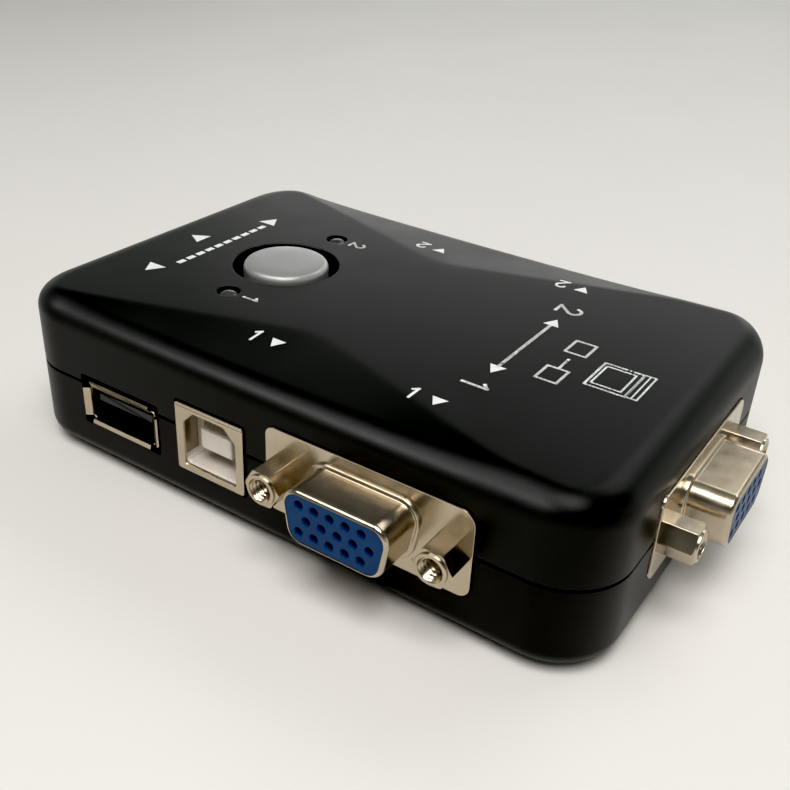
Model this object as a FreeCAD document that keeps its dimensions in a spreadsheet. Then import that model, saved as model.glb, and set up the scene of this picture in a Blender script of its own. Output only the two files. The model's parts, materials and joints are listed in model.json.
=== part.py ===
"""Two-computer desktop switch box: a black plastic case with a push button, three fifteen-way video
sockets, three USB-A sockets and two USB-B sockets on one circuit board.

Frame: origin on the table under the middle of the footprint, +X towards the monitor socket's end,
-Y towards the first computer's side, +Z up. Sizes are in millimetres.
"""
import FreeCAD, Part
import math
import os
import re
import Sketcher
from FreeCAD import Placement, Rotation, Vector

doc = FreeCAD.newDocument("desktop_switch")

# ---------------------------------------------------------------------------------------------
# Driving dimensions
# ---------------------------------------------------------------------------------------------
SIZES = {
    # case
    "case_length": 95.2,
    "case_width": 61.6,
    "case_shift": -3.15,             # the video shell at +X is proud of the case, so the case sits back
    "corner_radius": 9.0,
    "wall": 2.0,
    "foot_height": 1.0,             # how far the feet stand out of the underside
    "floor_top": 3.0,
    "part_line": 13.2,              # where the two shells meet, and the middle of the video sockets
    "part_gap": 0.3,
    "plateau_top": 25.1,
    "flank_drop": 1.05,             # from the plateau to the top of the long walls
    "top_fillet": 3.0,
    "bottom_fillet": 2.5,
    "ceiling": 22.05,
    "lip_height": 1.2,
    "lip_inset": 1.05,
    "rebate_inset": 1.0,
    # the plateau's waist: two straight sides that meet in a rounded corner
    "waist_shift": -2.9,
    "waist_depth": 15.4,
    "waist_slope": 0.345,
    "waist_round": 2.5,
    "waist_least": 5.0,
    # fasteners and feet
    "screw_x": 40.5,
    "screw_y": 24.0,
    "screw_head_radius": 2.5,
    "screw_head_bottom": 1.25,
    "screw_seat": 2.6,
    "head_taper": 0.7,
    "head_edge": 0.5,
    "screw_shank_radius": 1.25,
    "screw_tip_radius": 0.4,
    "screw_tip_length": 1.0,
    "cross_long": 2.6,
    "cross_wide": 0.6,
    "cross_depth": 0.8,
    "screw_end": 12.0,
    "screw_well_radius": 2.9,
    "screw_hole_radius": 1.6,
    "boss_hole_radius": 1.3,
    "boss_radius": 3.0,
    "post_radius": 3.4,
    "foot_radius": 4.0,
    "foot_thickness": 1.5,
    "foot_edge": 0.3,
    "foot_gap": 0.1,
    "foot_x": 29.0,
    "foot_y": 22.5,
    # board
    "board_top": 6.35,
    "board_thick": 1.6,
    "board_gap": 0.5,
    "tail_below": 0.8,              # how far the soldered tails stand out under the board
    # button and indicators
    "button_x": -20.9,
    "cap_radius": 6.6,
    "cap_rise": 0.8,
    "stem_radius": 2.0,
    "well_radius": 8.35,
    "well_chamfer": 0.4,
    "well_neck": 6.95,
    "well_depth": 1.6,
    "flange_radius": 7.9,
    "flange_thick": 1.0,
    "flange_play": 0.05,            # between the cap's flange and the ceiling above it
    "guide_bore": 8.2,
    "guide_radius": 9.4,
    "guide_bottom": 19.0,
    "plunger_radius": 1.75,
    "plunger_top": 14.0,
    "plunger_sunk": 0.85,           # how far the plunger reaches down into the switch
    "plunger_gap": 0.1,
    "tact_side": 6.0,
    "tact_height": 3.5,
    "tact_bore_depth": 1.5,
    "leg_side": 0.7,
    "leg_reach": 0.25,
    "leg_spread": 2.25,
    "leg_rise": 1.2,
    "leg_drill": 0.55,
    "lamp_y": 13.2,
    "lamp_radius": 1.5,
    "lamp_flange": 1.9,
    "lamp_bottom": 19.3,
    "lamp_height": 5.3,
    "lamp_hole": 1.85,
    "lamp_rim": 1.0,
    "lead_spread": 1.27,
    "lead_radius": 0.25,
    # fifteen-way video socket
    "video_x": 16.4,
    "plate_width": 30.8,
    "plate_height": 12.5,
    "plate_proud": 0.3,
    "plate_thick": 0.8,
    "plate_corner": 2.2,
    "nose_length": 6.6,
    "nose_half_top": 8.165,
    "nose_half_bottom": 6.77,
    "nose_half_height": 3.95,
    "nose_corner": 2.4,
    "nose_wall": 0.4,
    "nose_roll": 0.7,               # radius of the metal's rolled front edge
    "nose_lip": 0.72,               # how far the rolled edge reaches in
    "lip_depth": 0.5,
    "rim_step": 0.6,
    "rim_thick": 0.5,
    "face_recess": 0.1,
    "face_gap": 0.05,
    "screw_pitch": 24.99,
    "jack_flats": 4.75,
    "jack_length": 4.95,
    "jack_collar": 2.2,
    "collar_length": 0.75,
    "jack_rim": 0.2,
    "jack_shoulder": 0.4,
    "jack_bore": 1.42,
    "jack_depth": 4.2,
    "jack_chamfer": 0.25,
    "jack_shank": 1.5,
    "jack_shank_end": 4.4,
    "contact_pitch": 2.29,
    "row_pitch": 1.98,
    "row_stagger": 0.57,
    "contact_hole": 0.6,
    "contact_radius": 0.45,
    "contact_recess": 1.2,          # from the nose's front to the front of the contacts
    "contact_bore": 0.3,
    "contact_bore_end": 5.0,
    "tail_radius": 0.3,
    "tail_drill": 0.4,
    "block_width": 19.0,            # the moulding behind the wall
    "block_height": 10.4,
    "block_front": 0.5,
    "block_back": 10.5,
    "bracket_width": 4.4,
    "bracket_height": 9.0,
    "bracket_middle": -1.3,
    "bracket_sheet": 1.0,
    "heel_start": 3.0,
    "heel_end": 8.0,
    "peg_place": 5.5,
    "peg_radius": 0.8,
    "peg_drill": 0.9,
    # USB-A socket
    "lip_proud": 0.3,               # how far both kinds of USB socket stand out of the wall
    "usb_a_x": -26.3,
    "usb_a_drop": 3.05,
    "usb_a_width": 13.1,
    "usb_a_height": 5.7,
    "usb_a_lip_width": 14.8,
    "usb_a_lip_height": 6.9,
    "usb_a_window_height": 8.0,
    "usb_a_window_rise": 0.4,
    "usb_a_length": 13.5,
    "usb_a_sheet": 0.3,
    "lip_notch_x": 0.9,
    "lip_notch_z": 1.1,
    "lip_notch_end": 0.05,
    "tube_front": 0.2,
    "tongue_width": 11.1,
    "tongue_thick": 1.84,
    "tongue_low": 0.05,
    "tongue_front": 1.0,            # from the wall's face, in both kinds of USB socket
    "tongue_root": 9.5,
    "riser_inset": 1.0,
    "riser_front": 4.0,
    "moulding_gap": 0.1,            # across a moulding and its shell, both sides together
    "moulding_back": 0.2,
    "strip_width": 1.0,
    "strip_thick": 0.2,
    "strip_front": 1.6,
    "strip_past": 1.0,
    "strip_gap": 0.02,
    "pin_width": 0.6,
    "pin_thick": 0.3,
    "pin_drill": 0.5,
    # USB-B socket
    "usb_b_x": -8.95,
    "usb_b_drop": 1.4,
    "usb_b_width": 12.06,
    "usb_b_height": 10.7,
    "usb_b_length": 16.0,
    "usb_b_sheet": 0.35,
    "usb_b_mouth_width": 8.45,
    "usb_b_mouth_height": 7.78,
    "usb_b_mouth_cut": 1.6,
    "usb_b_mouth_depth": 9.3,
    "usb_b_mouth_margin": 0.35,
    "usb_b_tongue_width": 5.6,
    "usb_b_tongue_height": 3.18,
    "usb_b_strip_front": 3.6,
    "usb_b_drill": 0.4,
    "window_gap": 0.25,
    "plate_gap": 0.2,
}

sheet = doc.addObject("Spreadsheet::Sheet", "Sizes")
for row, (alias, value) in enumerate(SIZES.items(), start=1):
    sheet.set(f"A{row}", alias)
    sheet.set(f"B{row}", str(value))
    sheet.setAlias(f"B{row}", alias)
doc.recompute()

ALIAS = re.compile(r"\b(" + "|".join(sorted(SIZES, key=len, reverse=True)) + r")\b")
OVERLAP = 0.5                       # how far joined primitives run into each other
PAST = 1.0                          # how far a cutting tool runs past what it cuts
TOUCH = 0.01                        # two places nearer than this are the same
SIDES = (-1, 1)
CORNERS = [(-1, -1), (1, -1), (-1, 1), (1, 1)]
nodes = {}                          # node name -> document object, in the order they are written


# ---------------------------------------------------------------------------------------------
# Helpers: every size and place is an expression on the sheet
# ---------------------------------------------------------------------------------------------
def cells(expression):
    """The expression with each alias pointing at the sheet."""
    return ALIAS.sub(r"Sizes.\1", str(expression))


def bind(thing, prop, expression):
    thing.setExpression(prop, cells(expression))


def put(thing, spot=(0, 0, 0), turn=None):
    """Place an object: a fixed rotation, and a position bound to the sheet."""
    thing.Placement = Placement(Vector(0, 0, 0), turn or Rotation())
    for axis, expression in zip("xyz", spot):
        bind(thing, f".Placement.Base.{axis}", expression)
    return thing


def node(name, thing):
    """Name a finished sub-part; its label is the node's and the file's name."""
    thing.Label = name
    nodes[name] = thing
    return thing


def box(name, low, size):
    solid = doc.addObject("Part::Box", name)
    for prop, expression in zip(("Length", "Width", "Height"), size):
        bind(solid, prop, expression)
    return put(solid, low)


def slab(name, width, height, near, far, middle="0"):
    """A box centred on x, and on z about middle, that runs from near to far along y."""
    low = (f"-({width})/2", near, f"({middle})-({height})/2")
    return box(name, low, (width, f"({far})-({near})", height))


UPRIGHT = Rotation()
INWARD = Rotation(Vector(1, 0, 0), -90)     # turns a cylinder's axis from +Z to +Y


def rod(name, base, radius, length, turn=UPRIGHT):
    solid = doc.addObject("Part::Cylinder", name)
    bind(solid, "Radius", radius)
    bind(solid, "Height", length)
    return put(solid, base, turn)


def fuse(name, parts):
    joined = doc.addObject("Part::MultiFuse", name)
    joined.Shapes = parts
    return joined


def cut(name, base, tool):
    result = doc.addObject("Part::Cut", name)
    result.Base = base
    result.Tool = tool
    return result


def group(name, parts):
    bundle = doc.addObject("Part::Compound", name)
    bundle.Links = parts
    return bundle


def placed(name, master, spot, angle=0.0):
    """A copy of a master object, turned about the vertical and moved to its spot."""
    return put(group(name, [master]), spot, Rotation(Vector(0, 0, 1), angle))


def plane_of(body, role):
    return [part for part in body.Origin.OriginFeatures if part.Role == role][0]


def outline(body, name, role, points):
    """A closed sketch of straight lines whose corners are bound to the sheet."""
    sketch = body.newObject("Sketcher::SketchObject", name)
    sketch.AttachmentSupport = [(plane_of(body, role), "")]
    sketch.MapMode = "FlatFace"
    count = len(points)
    for index in range(count):
        ends = []
        for step in (index, (index + 1) % count):
            angle = 2 * math.pi * (step + 0.5) / count
            ends.append(Vector(math.cos(angle), math.sin(angle), 0))
        sketch.addGeometry(Part.LineSegment(*ends), False)
    for index in range(count):
        sketch.addConstraint(Sketcher.Constraint("Coincident", index, 2, (index + 1) % count, 1))
    for index, (across, along) in enumerate(points):
        start = sketch.Geometry[index].StartPoint
        for kind, value, expression in (("DistanceX", start.x, across), ("DistanceY", start.y, along)):
            rule = sketch.addConstraint(Sketcher.Constraint(kind, -1, 1, index, 1, value))
            bind(sketch, f"Constraints[{rule}]", expression)
    return sketch


def edges_where(shape, test):
    return [f"Edge{i + 1}" for i, edge in enumerate(shape.Edges) if test(edge)]


def round_edges(body, name, radius, test):
    """A PartDesign fillet on the edges of the body's tip that pass the test."""
    doc.recompute()
    base = body.Tip
    fillet = body.newObject("PartDesign::Fillet", name)
    fillet.Base = (base, edges_where(base.Shape, test))
    bind(fillet, "Radius", radius)
    return fillet


ALONG = 0.9                         # least cosine between an edge and the direction it is said to follow


def rises(edge):
    return abs(edge.tangentAt(edge.FirstParameter).z) > ALONG


def runs_inward(edge):
    return abs(edge.tangentAt(edge.FirstParameter).y) > ALONG


def padded(name, points, length, role="XY_Plane"):
    """A PartDesign body: a polygon on an origin plane, padded by length."""
    body = doc.addObject("PartDesign::Body", name)
    pad = body.newObject("PartDesign::Pad", f"{name}_pad")
    pad.Profile = outline(body, f"{name}_sketch", role, points)
    bind(pad, "Length", length)
    body.Tip = pad
    return body


def rounded_block(name, inset, bottom, top, foot_radius=None):
    """A block with the case's rounded plan, moved in by inset, between two heights."""
    half_x = f"(case_length/2-({inset}))"
    half_y = f"(case_width/2-({inset}))"
    corners = [(f"-{half_x}", f"-{half_y}"), (half_x, f"-{half_y}"),
               (half_x, half_y), (f"-{half_x}", half_y)]
    body = padded(name, corners, f"({top})-({bottom})")
    round_edges(body, f"{name}_corners", f"corner_radius-({inset})", rises)
    if foot_radius:
        round_edges(body, f"{name}_foot", foot_radius,
                    lambda edge: abs(edge.BoundBox.ZMax) < TOUCH)
    return put(body, ("case_shift", 0, bottom))


def plan_block(name, bottom, top):
    """The case's rounded plan as a Part box with filleted corners, which the top's loft trims."""
    blank = box(f"{name}_blank", ("case_shift-case_length/2", "-case_width/2", bottom),
                ("case_length", "case_width", f"({top})-({bottom})"))
    doc.recompute()
    rounded = doc.addObject("Part::Fillet", name)
    rounded.Base = blank
    radius = SIZES["corner_radius"]
    rounded.Edges = [(number, radius, radius)
                     for number, edge in enumerate(blank.Shape.Edges, start=1) if rises(edge)]
    return rounded


def turned(name, profile, spot=(0, 0, 0), turn=UPRIGHT):
    """A PartDesign body turned about its own z axis; the profile is (radius, height) pairs."""
    body = doc.addObject("PartDesign::Body", name)
    spin = body.newObject("PartDesign::Revolution", f"{name}_turn")
    sketch = outline(body, f"{name}_profile", "XZ_Plane", profile)
    spin.Profile = sketch
    spin.ReferenceAxis = (sketch, ["V_Axis"])
    spin.Angle = 360.0
    body.Tip = spin
    return put(body, spot, turn)


# ---------------------------------------------------------------------------------------------
# Where the sockets sit: (name, x, y, angle about the vertical); each faces -Y before it is turned
# ---------------------------------------------------------------------------------------------
FRONT = "-case_width/2"
BACK = "case_width/2"
VIDEO_SPOTS = [
    ("front", "case_shift+video_x", FRONT, 0),
    ("back", "case_shift+video_x", BACK, 180),
    ("monitor", "case_shift+case_length/2", "0", 90),
]
USB_A_SPOTS = [
    ("front", "case_shift+usb_a_x", FRONT, 0),
    ("back", "case_shift+usb_a_x", BACK, 180),
    ("end", "case_shift-case_length/2", "0", -90),
]
USB_B_SPOTS = [
    ("front", "case_shift+usb_b_x", FRONT, 0),
    ("back", "case_shift+usb_b_x", BACK, 180),
]
VIDEO_Z = "part_line"
USB_A_Z = "part_line-usb_a_drop"
USB_B_Z = "part_line-usb_b_drop"
windows = []
drills = []


def board_foot(height):
    """Where soldered tails end, from the middle of a socket that is at this height."""
    return f"(board_top-board_thick-tail_below-({height}))"


def drill(name, x, y, foot, radius):
    """A tool that drills the board for a tail that ends at foot."""
    return rod(name, (x, y, f"{foot}-{PAST}"), radius, f"board_thick+tail_below+2*{PAST}")


def place_family(family, spots, height, masters, window, drill):
    """Put one copy of each master at every spot of a family of sockets."""
    for side, x, y, angle in spots:
        for part_name, master in masters:
            name = f"{family}_{side}_{part_name}"
            node(name, placed(name, master, (x, y, height), angle))
        windows.append(placed(f"{family}_{side}_window", window, (x, y, height), angle))
        drills.append(placed(f"{family}_{side}_drill", drill, (x, y, height), angle))


# ---------------------------------------------------------------------------------------------
# Video socket, about the middle of its face: wall plane y = 0, outwards is -Y
# ---------------------------------------------------------------------------------------------
ROWS = 3
COLUMNS = 5
TAIL_Y = [14.2, 12.9, 11.6]         # one for each row from the top: its tails drop this far back


def nose_block(name, grow, near, far):
    """A D-shaped block, wide side up, grown by grow, between two y positions."""
    top = f"(nose_half_top+({grow}))"
    bottom = f"(nose_half_bottom+({grow}))"
    rise = f"(nose_half_height+({grow}))"
    corners = [(f"-{bottom}", f"-{rise}"), (bottom, f"-{rise}"), (top, rise), (f"-{top}", rise)]
    body = padded(name, corners, f"({far})-({near})", "XZ_Plane")
    round_edges(body, f"{name}_corners", f"nose_corner+({grow})", runs_inward)
    return put(body, (0, far, 0))


def plate_block(name, grow, near, far):
    """A slab with the mounting plate's rounded outline, grown by grow, between two y positions."""
    half_x = f"(plate_width/2+({grow}))"
    half_z = f"(plate_height/2+({grow}))"
    corners = [(f"-{half_x}", f"-{half_z}"), (half_x, f"-{half_z}"),
               (half_x, half_z), (f"-{half_x}", half_z)]
    body = padded(name, corners, f"({far})-({near})", "XZ_Plane")
    round_edges(body, f"{name}_corners", "plate_corner", runs_inward)
    return put(body, (0, far, 0))


def contact_places():
    """(x, z, row) of the fifteen contacts; the middle row is staggered the other way."""
    places = []
    for line in range(ROWS):
        stagger = "row_stagger" if line == 1 else "-row_stagger"
        for column in range(COLUMNS):
            x = f"{column - COLUMNS // 2}*contact_pitch+{stagger}"
            places.append((x, f"{ROWS // 2 - line}*row_pitch", line))
    return places


def video_shell():
    """The plated shell: mounting plate, raised rim, and a nose whose front edge rolls inwards."""
    plate = plate_block("video_plate", "0", "-plate_proud", "plate_thick-plate_proud")
    rim = nose_block("video_rim", "rim_step", "-plate_proud-rim_thick", "0")
    nose = nose_block("video_nose", "0", "-nose_length", "0")
    round_edges(nose, "video_nose_roll", "nose_roll",
                lambda edge: edge.BoundBox.YMax < TOUCH - SIZES["nose_length"])
    hollow = nose_block("video_hollow", "-nose_wall", "lip_depth-nose_length", "plate_thick")
    mouth = nose_block("video_mouth", "-nose_lip", f"-nose_length-{PAST}", "0")
    holes = [rod(f"video_plate_hole_{side}", (f"{side}*screw_pitch/2", f"-plate_proud-{PAST}", 0),
                 "screw_hole_radius", f"plate_thick+2*{PAST}", INWARD) for side in SIDES]
    return cut("video_shell", fuse("video_shell_metal", [plate, rim, nose]),
               fuse("video_shell_openings", [hollow, mouth] + holes))


def video_insulator():
    """The moulding: a face in the nose's mouth, a core inside the nose and a block behind the wall."""
    face = nose_block("video_face", "-nose_lip-face_gap", "face_recess-nose_length", "0")
    core = nose_block("video_core", "-nose_wall-face_gap", "lip_depth+face_gap-nose_length",
                      "block_front+face_gap")
    block = slab("video_block", "block_width", "block_height", "block_front", "block_back")
    bores = [rod(f"video_bore_{i}", (x, f"-nose_length-{PAST}", z), "contact_hole",
                 f"nose_length+block_back+2*{PAST}", INWARD)
             for i, (x, z, line) in enumerate(contact_places())]
    return cut("video_insulator", fuse("video_insulator_solid", [face, core, block]),
               group("video_bores", bores))


def video_contacts():
    """Fifteen round contacts with hollow fronts and tails down to the board, and the tails' drills."""
    foot = board_foot(VIDEO_Z)
    contacts = []
    holes = []
    for i, (x, z, line) in enumerate(contact_places()):
        barrel = rod(f"video_pin_{i}", (x, "contact_recess-nose_length", z), "contact_radius",
                     f"{TAIL_Y[line]}+nose_length-contact_recess", INWARD)
        tail = rod(f"video_tail_{i}", (x, TAIL_Y[line], foot), "tail_radius", f"({z})-{foot}")
        socket = rod(f"video_socket_{i}", (x, "-nose_length", z), "contact_bore",
                     "contact_bore_end", INWARD)
        contacts.append(cut(f"video_contact_{i}", fuse(f"video_wire_{i}", [barrel, tail]), socket))
        holes.append(drill(f"video_drill_{i}", x, TAIL_Y[line], foot, "tail_drill"))
    return group("video_contacts", contacts), holes


def jackscrew(side):
    """A hexagonal standoff with a rounded nose, a threaded bore and a shank through the plate."""
    outward = Rotation(Vector(1, 0, 0), 90)
    length = "(jack_length-plate_proud)"
    hexagon = doc.addObject("Part::Prism", f"jack_hexagon_{side}")
    hexagon.Polygon = 6
    bind(hexagon, "Circumradius", "jack_flats/2/cos(30)")
    bind(hexagon, "Height", length)
    put(hexagon, (0, "-plate_proud", 0), outward)
    outside = "jack_flats*0.6"      # clear of the hexagon's corners
    barrel = turned(f"jack_barrel_{side}",
                    [("0", "0"), (outside, "0"), (outside, f"{length}-collar_length-jack_shoulder"),
                     ("jack_collar", f"{length}-collar_length"), ("jack_collar", f"{length}-jack_rim"),
                     ("jack_collar-jack_rim", length), ("0", length)],
                    (0, "-plate_proud", 0), outward)
    nose = doc.addObject("Part::MultiCommon", f"jack_nose_{side}")
    nose.Shapes = [hexagon, barrel]
    shank = rod(f"jack_shank_{side}", (0, f"-plate_proud-{OVERLAP}", 0), "jack_shank",
                f"jack_shank_end+plate_proud+{OVERLAP}", INWARD)
    bore = rod(f"jack_bore_{side}", (0, "-jack_length", 0), "jack_bore", "jack_depth", INWARD)
    mouth = doc.addObject("Part::Cone", f"jack_mouth_{side}")
    bind(mouth, "Radius1", "jack_bore+jack_chamfer")
    bind(mouth, "Radius2", "jack_bore")
    bind(mouth, "Height", "jack_chamfer")
    put(mouth, (0, "-jack_length", 0), INWARD)
    solid = cut(f"jack_{side}", fuse(f"jack_solid_{side}", [nose, shank]),
                fuse(f"jack_openings_{side}", [bore, mouth]))
    return placed(f"jack_placed_{side}", solid, (f"{side}*screw_pitch/2", 0, 0))


def bracket(side):
    """A bent plate behind the flange that the jackscrew pulls against; a peg holds it in the board."""
    to_board = f"(board_top-({VIDEO_Z}))"
    front = "(plate_thick-plate_proud)"
    low = "(bracket_middle-bracket_height/2)"
    upright = slab(f"bracket_upright_{side}", "bracket_width", "bracket_height", front,
                   f"{front}+bracket_sheet", "bracket_middle")
    ledge = box(f"bracket_ledge_{side}", ("-bracket_width/2", front, low),
                ("bracket_width", f"heel_end-{front}", "bracket_sheet"))
    heel = box(f"bracket_heel_{side}", ("-bracket_width/2", "heel_start", to_board),
               ("bracket_width", "heel_end-heel_start", f"{low}+{OVERLAP}-{to_board}"))
    peg = rod(f"bracket_peg_{side}", (0, "peg_place", board_foot(VIDEO_Z)), "peg_radius",
              f"board_thick+tail_below+{OVERLAP}")
    hole = rod(f"bracket_hole_{side}", (0, f"{front}-{PAST}", 0), "screw_hole_radius",
               f"bracket_sheet+2*{PAST}", INWARD)
    solid = cut(f"bracket_{side}", fuse(f"bracket_solid_{side}", [upright, ledge, heel, peg]), hole)
    return placed(f"bracket_placed_{side}", solid, (f"{side}*screw_pitch/2", 0, 0))


def video_masters():
    contacts, holes = video_contacts()
    for side in SIDES:
        holes.append(drill(f"video_peg_drill_{side}", f"{side}*screw_pitch/2", "peg_place",
                           board_foot(VIDEO_Z), "peg_drill"))
    masters = [("shell", video_shell()), ("insulator", video_insulator()), ("contacts", contacts),
               ("jackscrews", group("video_jacks", [jackscrew(side) for side in SIDES])),
               ("brackets", group("video_brackets", [bracket(side) for side in SIDES]))]
    window = plate_block("video_window", "plate_gap", f"-{PAST}", f"wall+{OVERLAP}")
    return masters, window, group("video_drills", holes)


# ---------------------------------------------------------------------------------------------
# USB-A socket: wall plane y = 0, outwards is -Y, z = 0 in the middle of the mouth
# ---------------------------------------------------------------------------------------------
USB_A_PINS = (-3.5, -1.0, 1.0, 3.5)


def usb_a_shell():
    """A square tube with a flap turned out along each side of its mouth."""
    tube = slab("usb_a_tube", "usb_a_width", "usb_a_height", "-tube_front", "usb_a_length")
    lips = slab("usb_a_lips", "usb_a_lip_width", "usb_a_lip_height", "-lip_proud", "0")
    bare = slab("usb_a_bare", "usb_a_width-2*usb_a_sheet", "usb_a_height-2*usb_a_sheet",
                f"-{PAST}", f"usb_a_length+{PAST}")
    notches = []
    for i, (side, rise) in enumerate(CORNERS):
        low = (f"{side}*usb_a_lip_width/2-lip_notch_x", f"-{PAST}",
               f"{rise}*usb_a_lip_height/2-lip_notch_z")
        notches.append(box(f"usb_a_notch_{i}", low,
                           ("2*lip_notch_x", f"{PAST}+lip_notch_end", "2*lip_notch_z")))
    return cut("usb_a_shell", fuse("usb_a_metal", [tube, lips]),
               fuse("usb_a_openings", [bare] + notches))


def usb_a_moulding(slots):
    """The tongue and the base that closes the back of the tube."""
    tongue = box("usb_a_blade", ("-tongue_width/2", "tongue_front", "tongue_low"),
                 ("tongue_width", f"tongue_root+{OVERLAP}-tongue_front", "tongue_thick"))
    base = slab("usb_a_base", "usb_a_width-2*usb_a_sheet-moulding_gap",
                "usb_a_height-2*usb_a_sheet-moulding_gap", "tongue_root",
                "usb_a_length-moulding_back")
    return cut("usb_a_insulator", fuse("usb_a_plastic", [tongue, base]), group("usb_a_slots", slots))


def usb_a_contacts():
    """Four flat contacts under the tongue, the slots they lie in, and their drills."""
    foot = board_foot(USB_A_Z)
    low = "(tongue_low-strip_thick)"
    contacts = []
    slots = []
    holes = []
    for i, x in enumerate(USB_A_PINS):
        blade = box(f"usb_a_strip_{i}", (f"{x}-strip_width/2", "strip_front", low),
                    ("strip_width", "usb_a_length+strip_past-strip_front", "strip_thick"))
        tail = box(f"usb_a_tail_{i}", (f"{x}-pin_width/2", "usb_a_length+strip_past-pin_thick", foot),
                   ("pin_width", "pin_thick", f"tongue_low-{foot}"))
        contacts.append(fuse(f"usb_a_contact_{i}", [blade, tail]))
        slots.append(box(f"usb_a_slot_{i}",
                         (f"{x}-strip_width/2-strip_gap", "strip_front-strip_gap", f"{low}-strip_gap"),
                         ("strip_width+2*strip_gap", "usb_a_length", "strip_thick+2*strip_gap")))
        holes.append(drill(f"usb_a_drill_{i}", x, "usb_a_length+strip_past-pin_thick/2", foot,
                           "pin_drill"))
    return group("usb_a_contacts", contacts), slots, holes


def usb_a_riser():
    """The block that lifts the tube off the board."""
    to_board = f"(board_top-({USB_A_Z}))"
    return box("usb_a_riser", ("riser_inset-usb_a_width/2", "riser_front", to_board),
               ("usb_a_width-2*riser_inset", "usb_a_length-moulding_back-riser_front",
                f"-usb_a_height/2-{to_board}"))


def usb_a_masters():
    contacts, slots, holes = usb_a_contacts()
    masters = [("shell", usb_a_shell()), ("tongue", usb_a_moulding(slots)), ("contacts", contacts),
               ("riser", usb_a_riser())]
    window = slab("usb_a_window", "usb_a_lip_width+2*window_gap", "usb_a_window_height",
                  f"-{PAST}", f"wall+{OVERLAP}", "usb_a_window_rise")
    return masters, window, group("usb_a_drills", holes)


# ---------------------------------------------------------------------------------------------
# USB-B socket, about the middle of its mouth
# ---------------------------------------------------------------------------------------------
# (x, side of the tongue, how far back the tail drops) of the four contacts
USB_B_PINS = [(-1.25, 1, 17.3), (1.25, 1, 17.3), (-1.25, -1, 16.4), (1.25, -1, 16.4)]


def mouth_block(name, near, far, grow="0"):
    """The plug's outline: a rectangle with its two top corners cut off."""
    half = f"(usb_b_mouth_width/2+({grow}))"
    rise = f"(usb_b_mouth_height/2+({grow}))"
    corners = [(f"-{half}", f"-{rise}"), (half, f"-{rise}"), (half, f"{rise}-usb_b_mouth_cut"),
               (f"{half}-usb_b_mouth_cut", rise), (f"usb_b_mouth_cut-{half}", rise),
               (f"-{half}", f"{rise}-usb_b_mouth_cut")]
    return put(padded(name, corners, f"({far})-({near})", "XZ_Plane"), (0, far, 0))


def usb_b_shell():
    """A square can with an opening in its front a little larger than the plug."""
    outer = slab("usb_b_outer", "usb_b_width", "usb_b_height", "-lip_proud", "usb_b_length")
    inner = slab("usb_b_inner", "usb_b_width-2*usb_b_sheet", "usb_b_height-2*usb_b_sheet",
                 "usb_b_sheet-lip_proud", f"usb_b_length+{PAST}")
    opening = mouth_block("usb_b_frame_mouth", f"-{PAST}", f"{PAST}", "usb_b_mouth_margin")
    return cut("usb_b_shell", outer, fuse("usb_b_openings", [inner, opening]))


def usb_b_moulding(slots):
    """The block with the plug's hollow in it, and the square tongue in the hollow."""
    block = slab("usb_b_plastic", "usb_b_width-2*usb_b_sheet-moulding_gap",
                 "usb_b_height-2*usb_b_sheet-moulding_gap", "usb_b_sheet-lip_proud+moulding_gap/2",
                 "usb_b_length-moulding_back")
    mouth = mouth_block("usb_b_mouth", f"-{PAST}", "usb_b_mouth_depth")
    tongue = slab("usb_b_tongue", "usb_b_tongue_width", "usb_b_tongue_height", "tongue_front",
                  f"usb_b_mouth_depth+{OVERLAP}")
    return cut("usb_b_insulator", fuse("usb_b_white", [cut("usb_b_hollow", block, mouth), tongue]),
               group("usb_b_slots", slots))


def usb_b_contacts():
    """Four flat contacts on the tongue's two faces, the slots they lie in, and their drills."""
    foot = board_foot(USB_B_Z)
    contacts = []
    slots = []
    holes = []
    for i, (x, side, back) in enumerate(USB_B_PINS):
        low = f"({side}*usb_b_tongue_height/2-strip_thick/2)"
        strip = box(f"usb_b_strip_{i}", (f"{x}-strip_width/2", "usb_b_strip_front", low),
                    ("strip_width", f"{back}-usb_b_strip_front", "strip_thick"))
        tail = box(f"usb_b_tail_{i}", (f"{x}-pin_width/2", f"{back}-pin_thick", foot),
                   ("pin_width", "pin_thick", f"{low}+strip_thick/2-{foot}"))
        contacts.append(fuse(f"usb_b_contact_{i}", [strip, tail]))
        slots.append(box(f"usb_b_slot_{i}",
                         (f"{x}-strip_width/2-strip_gap", "usb_b_strip_front-strip_gap",
                          f"{low}-strip_gap"),
                         ("strip_width+2*strip_gap", "usb_b_length", "strip_thick+2*strip_gap")))
        holes.append(drill(f"usb_b_drill_{i}", x, f"{back}-pin_thick/2", foot, "usb_b_drill"))
    return group("usb_b_contacts", contacts), slots, holes


def usb_b_masters():
    contacts, slots, holes = usb_b_contacts()
    masters = [("shell", usb_b_shell()), ("insulator", usb_b_moulding(slots)), ("contacts", contacts)]
    window = slab("usb_b_window", "usb_b_width+2*window_gap", "usb_b_height+2*window_gap",
                  f"-{PAST}", f"wall+{OVERLAP}")
    return masters, window, group("usb_b_drills", holes)


# ---------------------------------------------------------------------------------------------
# Case
# ---------------------------------------------------------------------------------------------
# where the cross-sections of the upper shell's outside stand, along the case from its middle
STATIONS = [-48, -46, -38, -28, -16, -8, -2.9, 2.2, 10, 22, 32, 38, 46, 48]
FADE_FROM, FADE_TO = 38.0, 44.0     # the flanks' drop fades out along the last of the long sides
OVERHANG = 2.0                      # the loft is wider than the case, and is trimmed to its plan
SPARE_HEIGHT = 3.0                  # of the block that trims the loft, above the plateau
LEVEL = 0.05                        # largest vertical part of an upright wall's normal
BUTTON_X = "case_shift+button_x"


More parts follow.
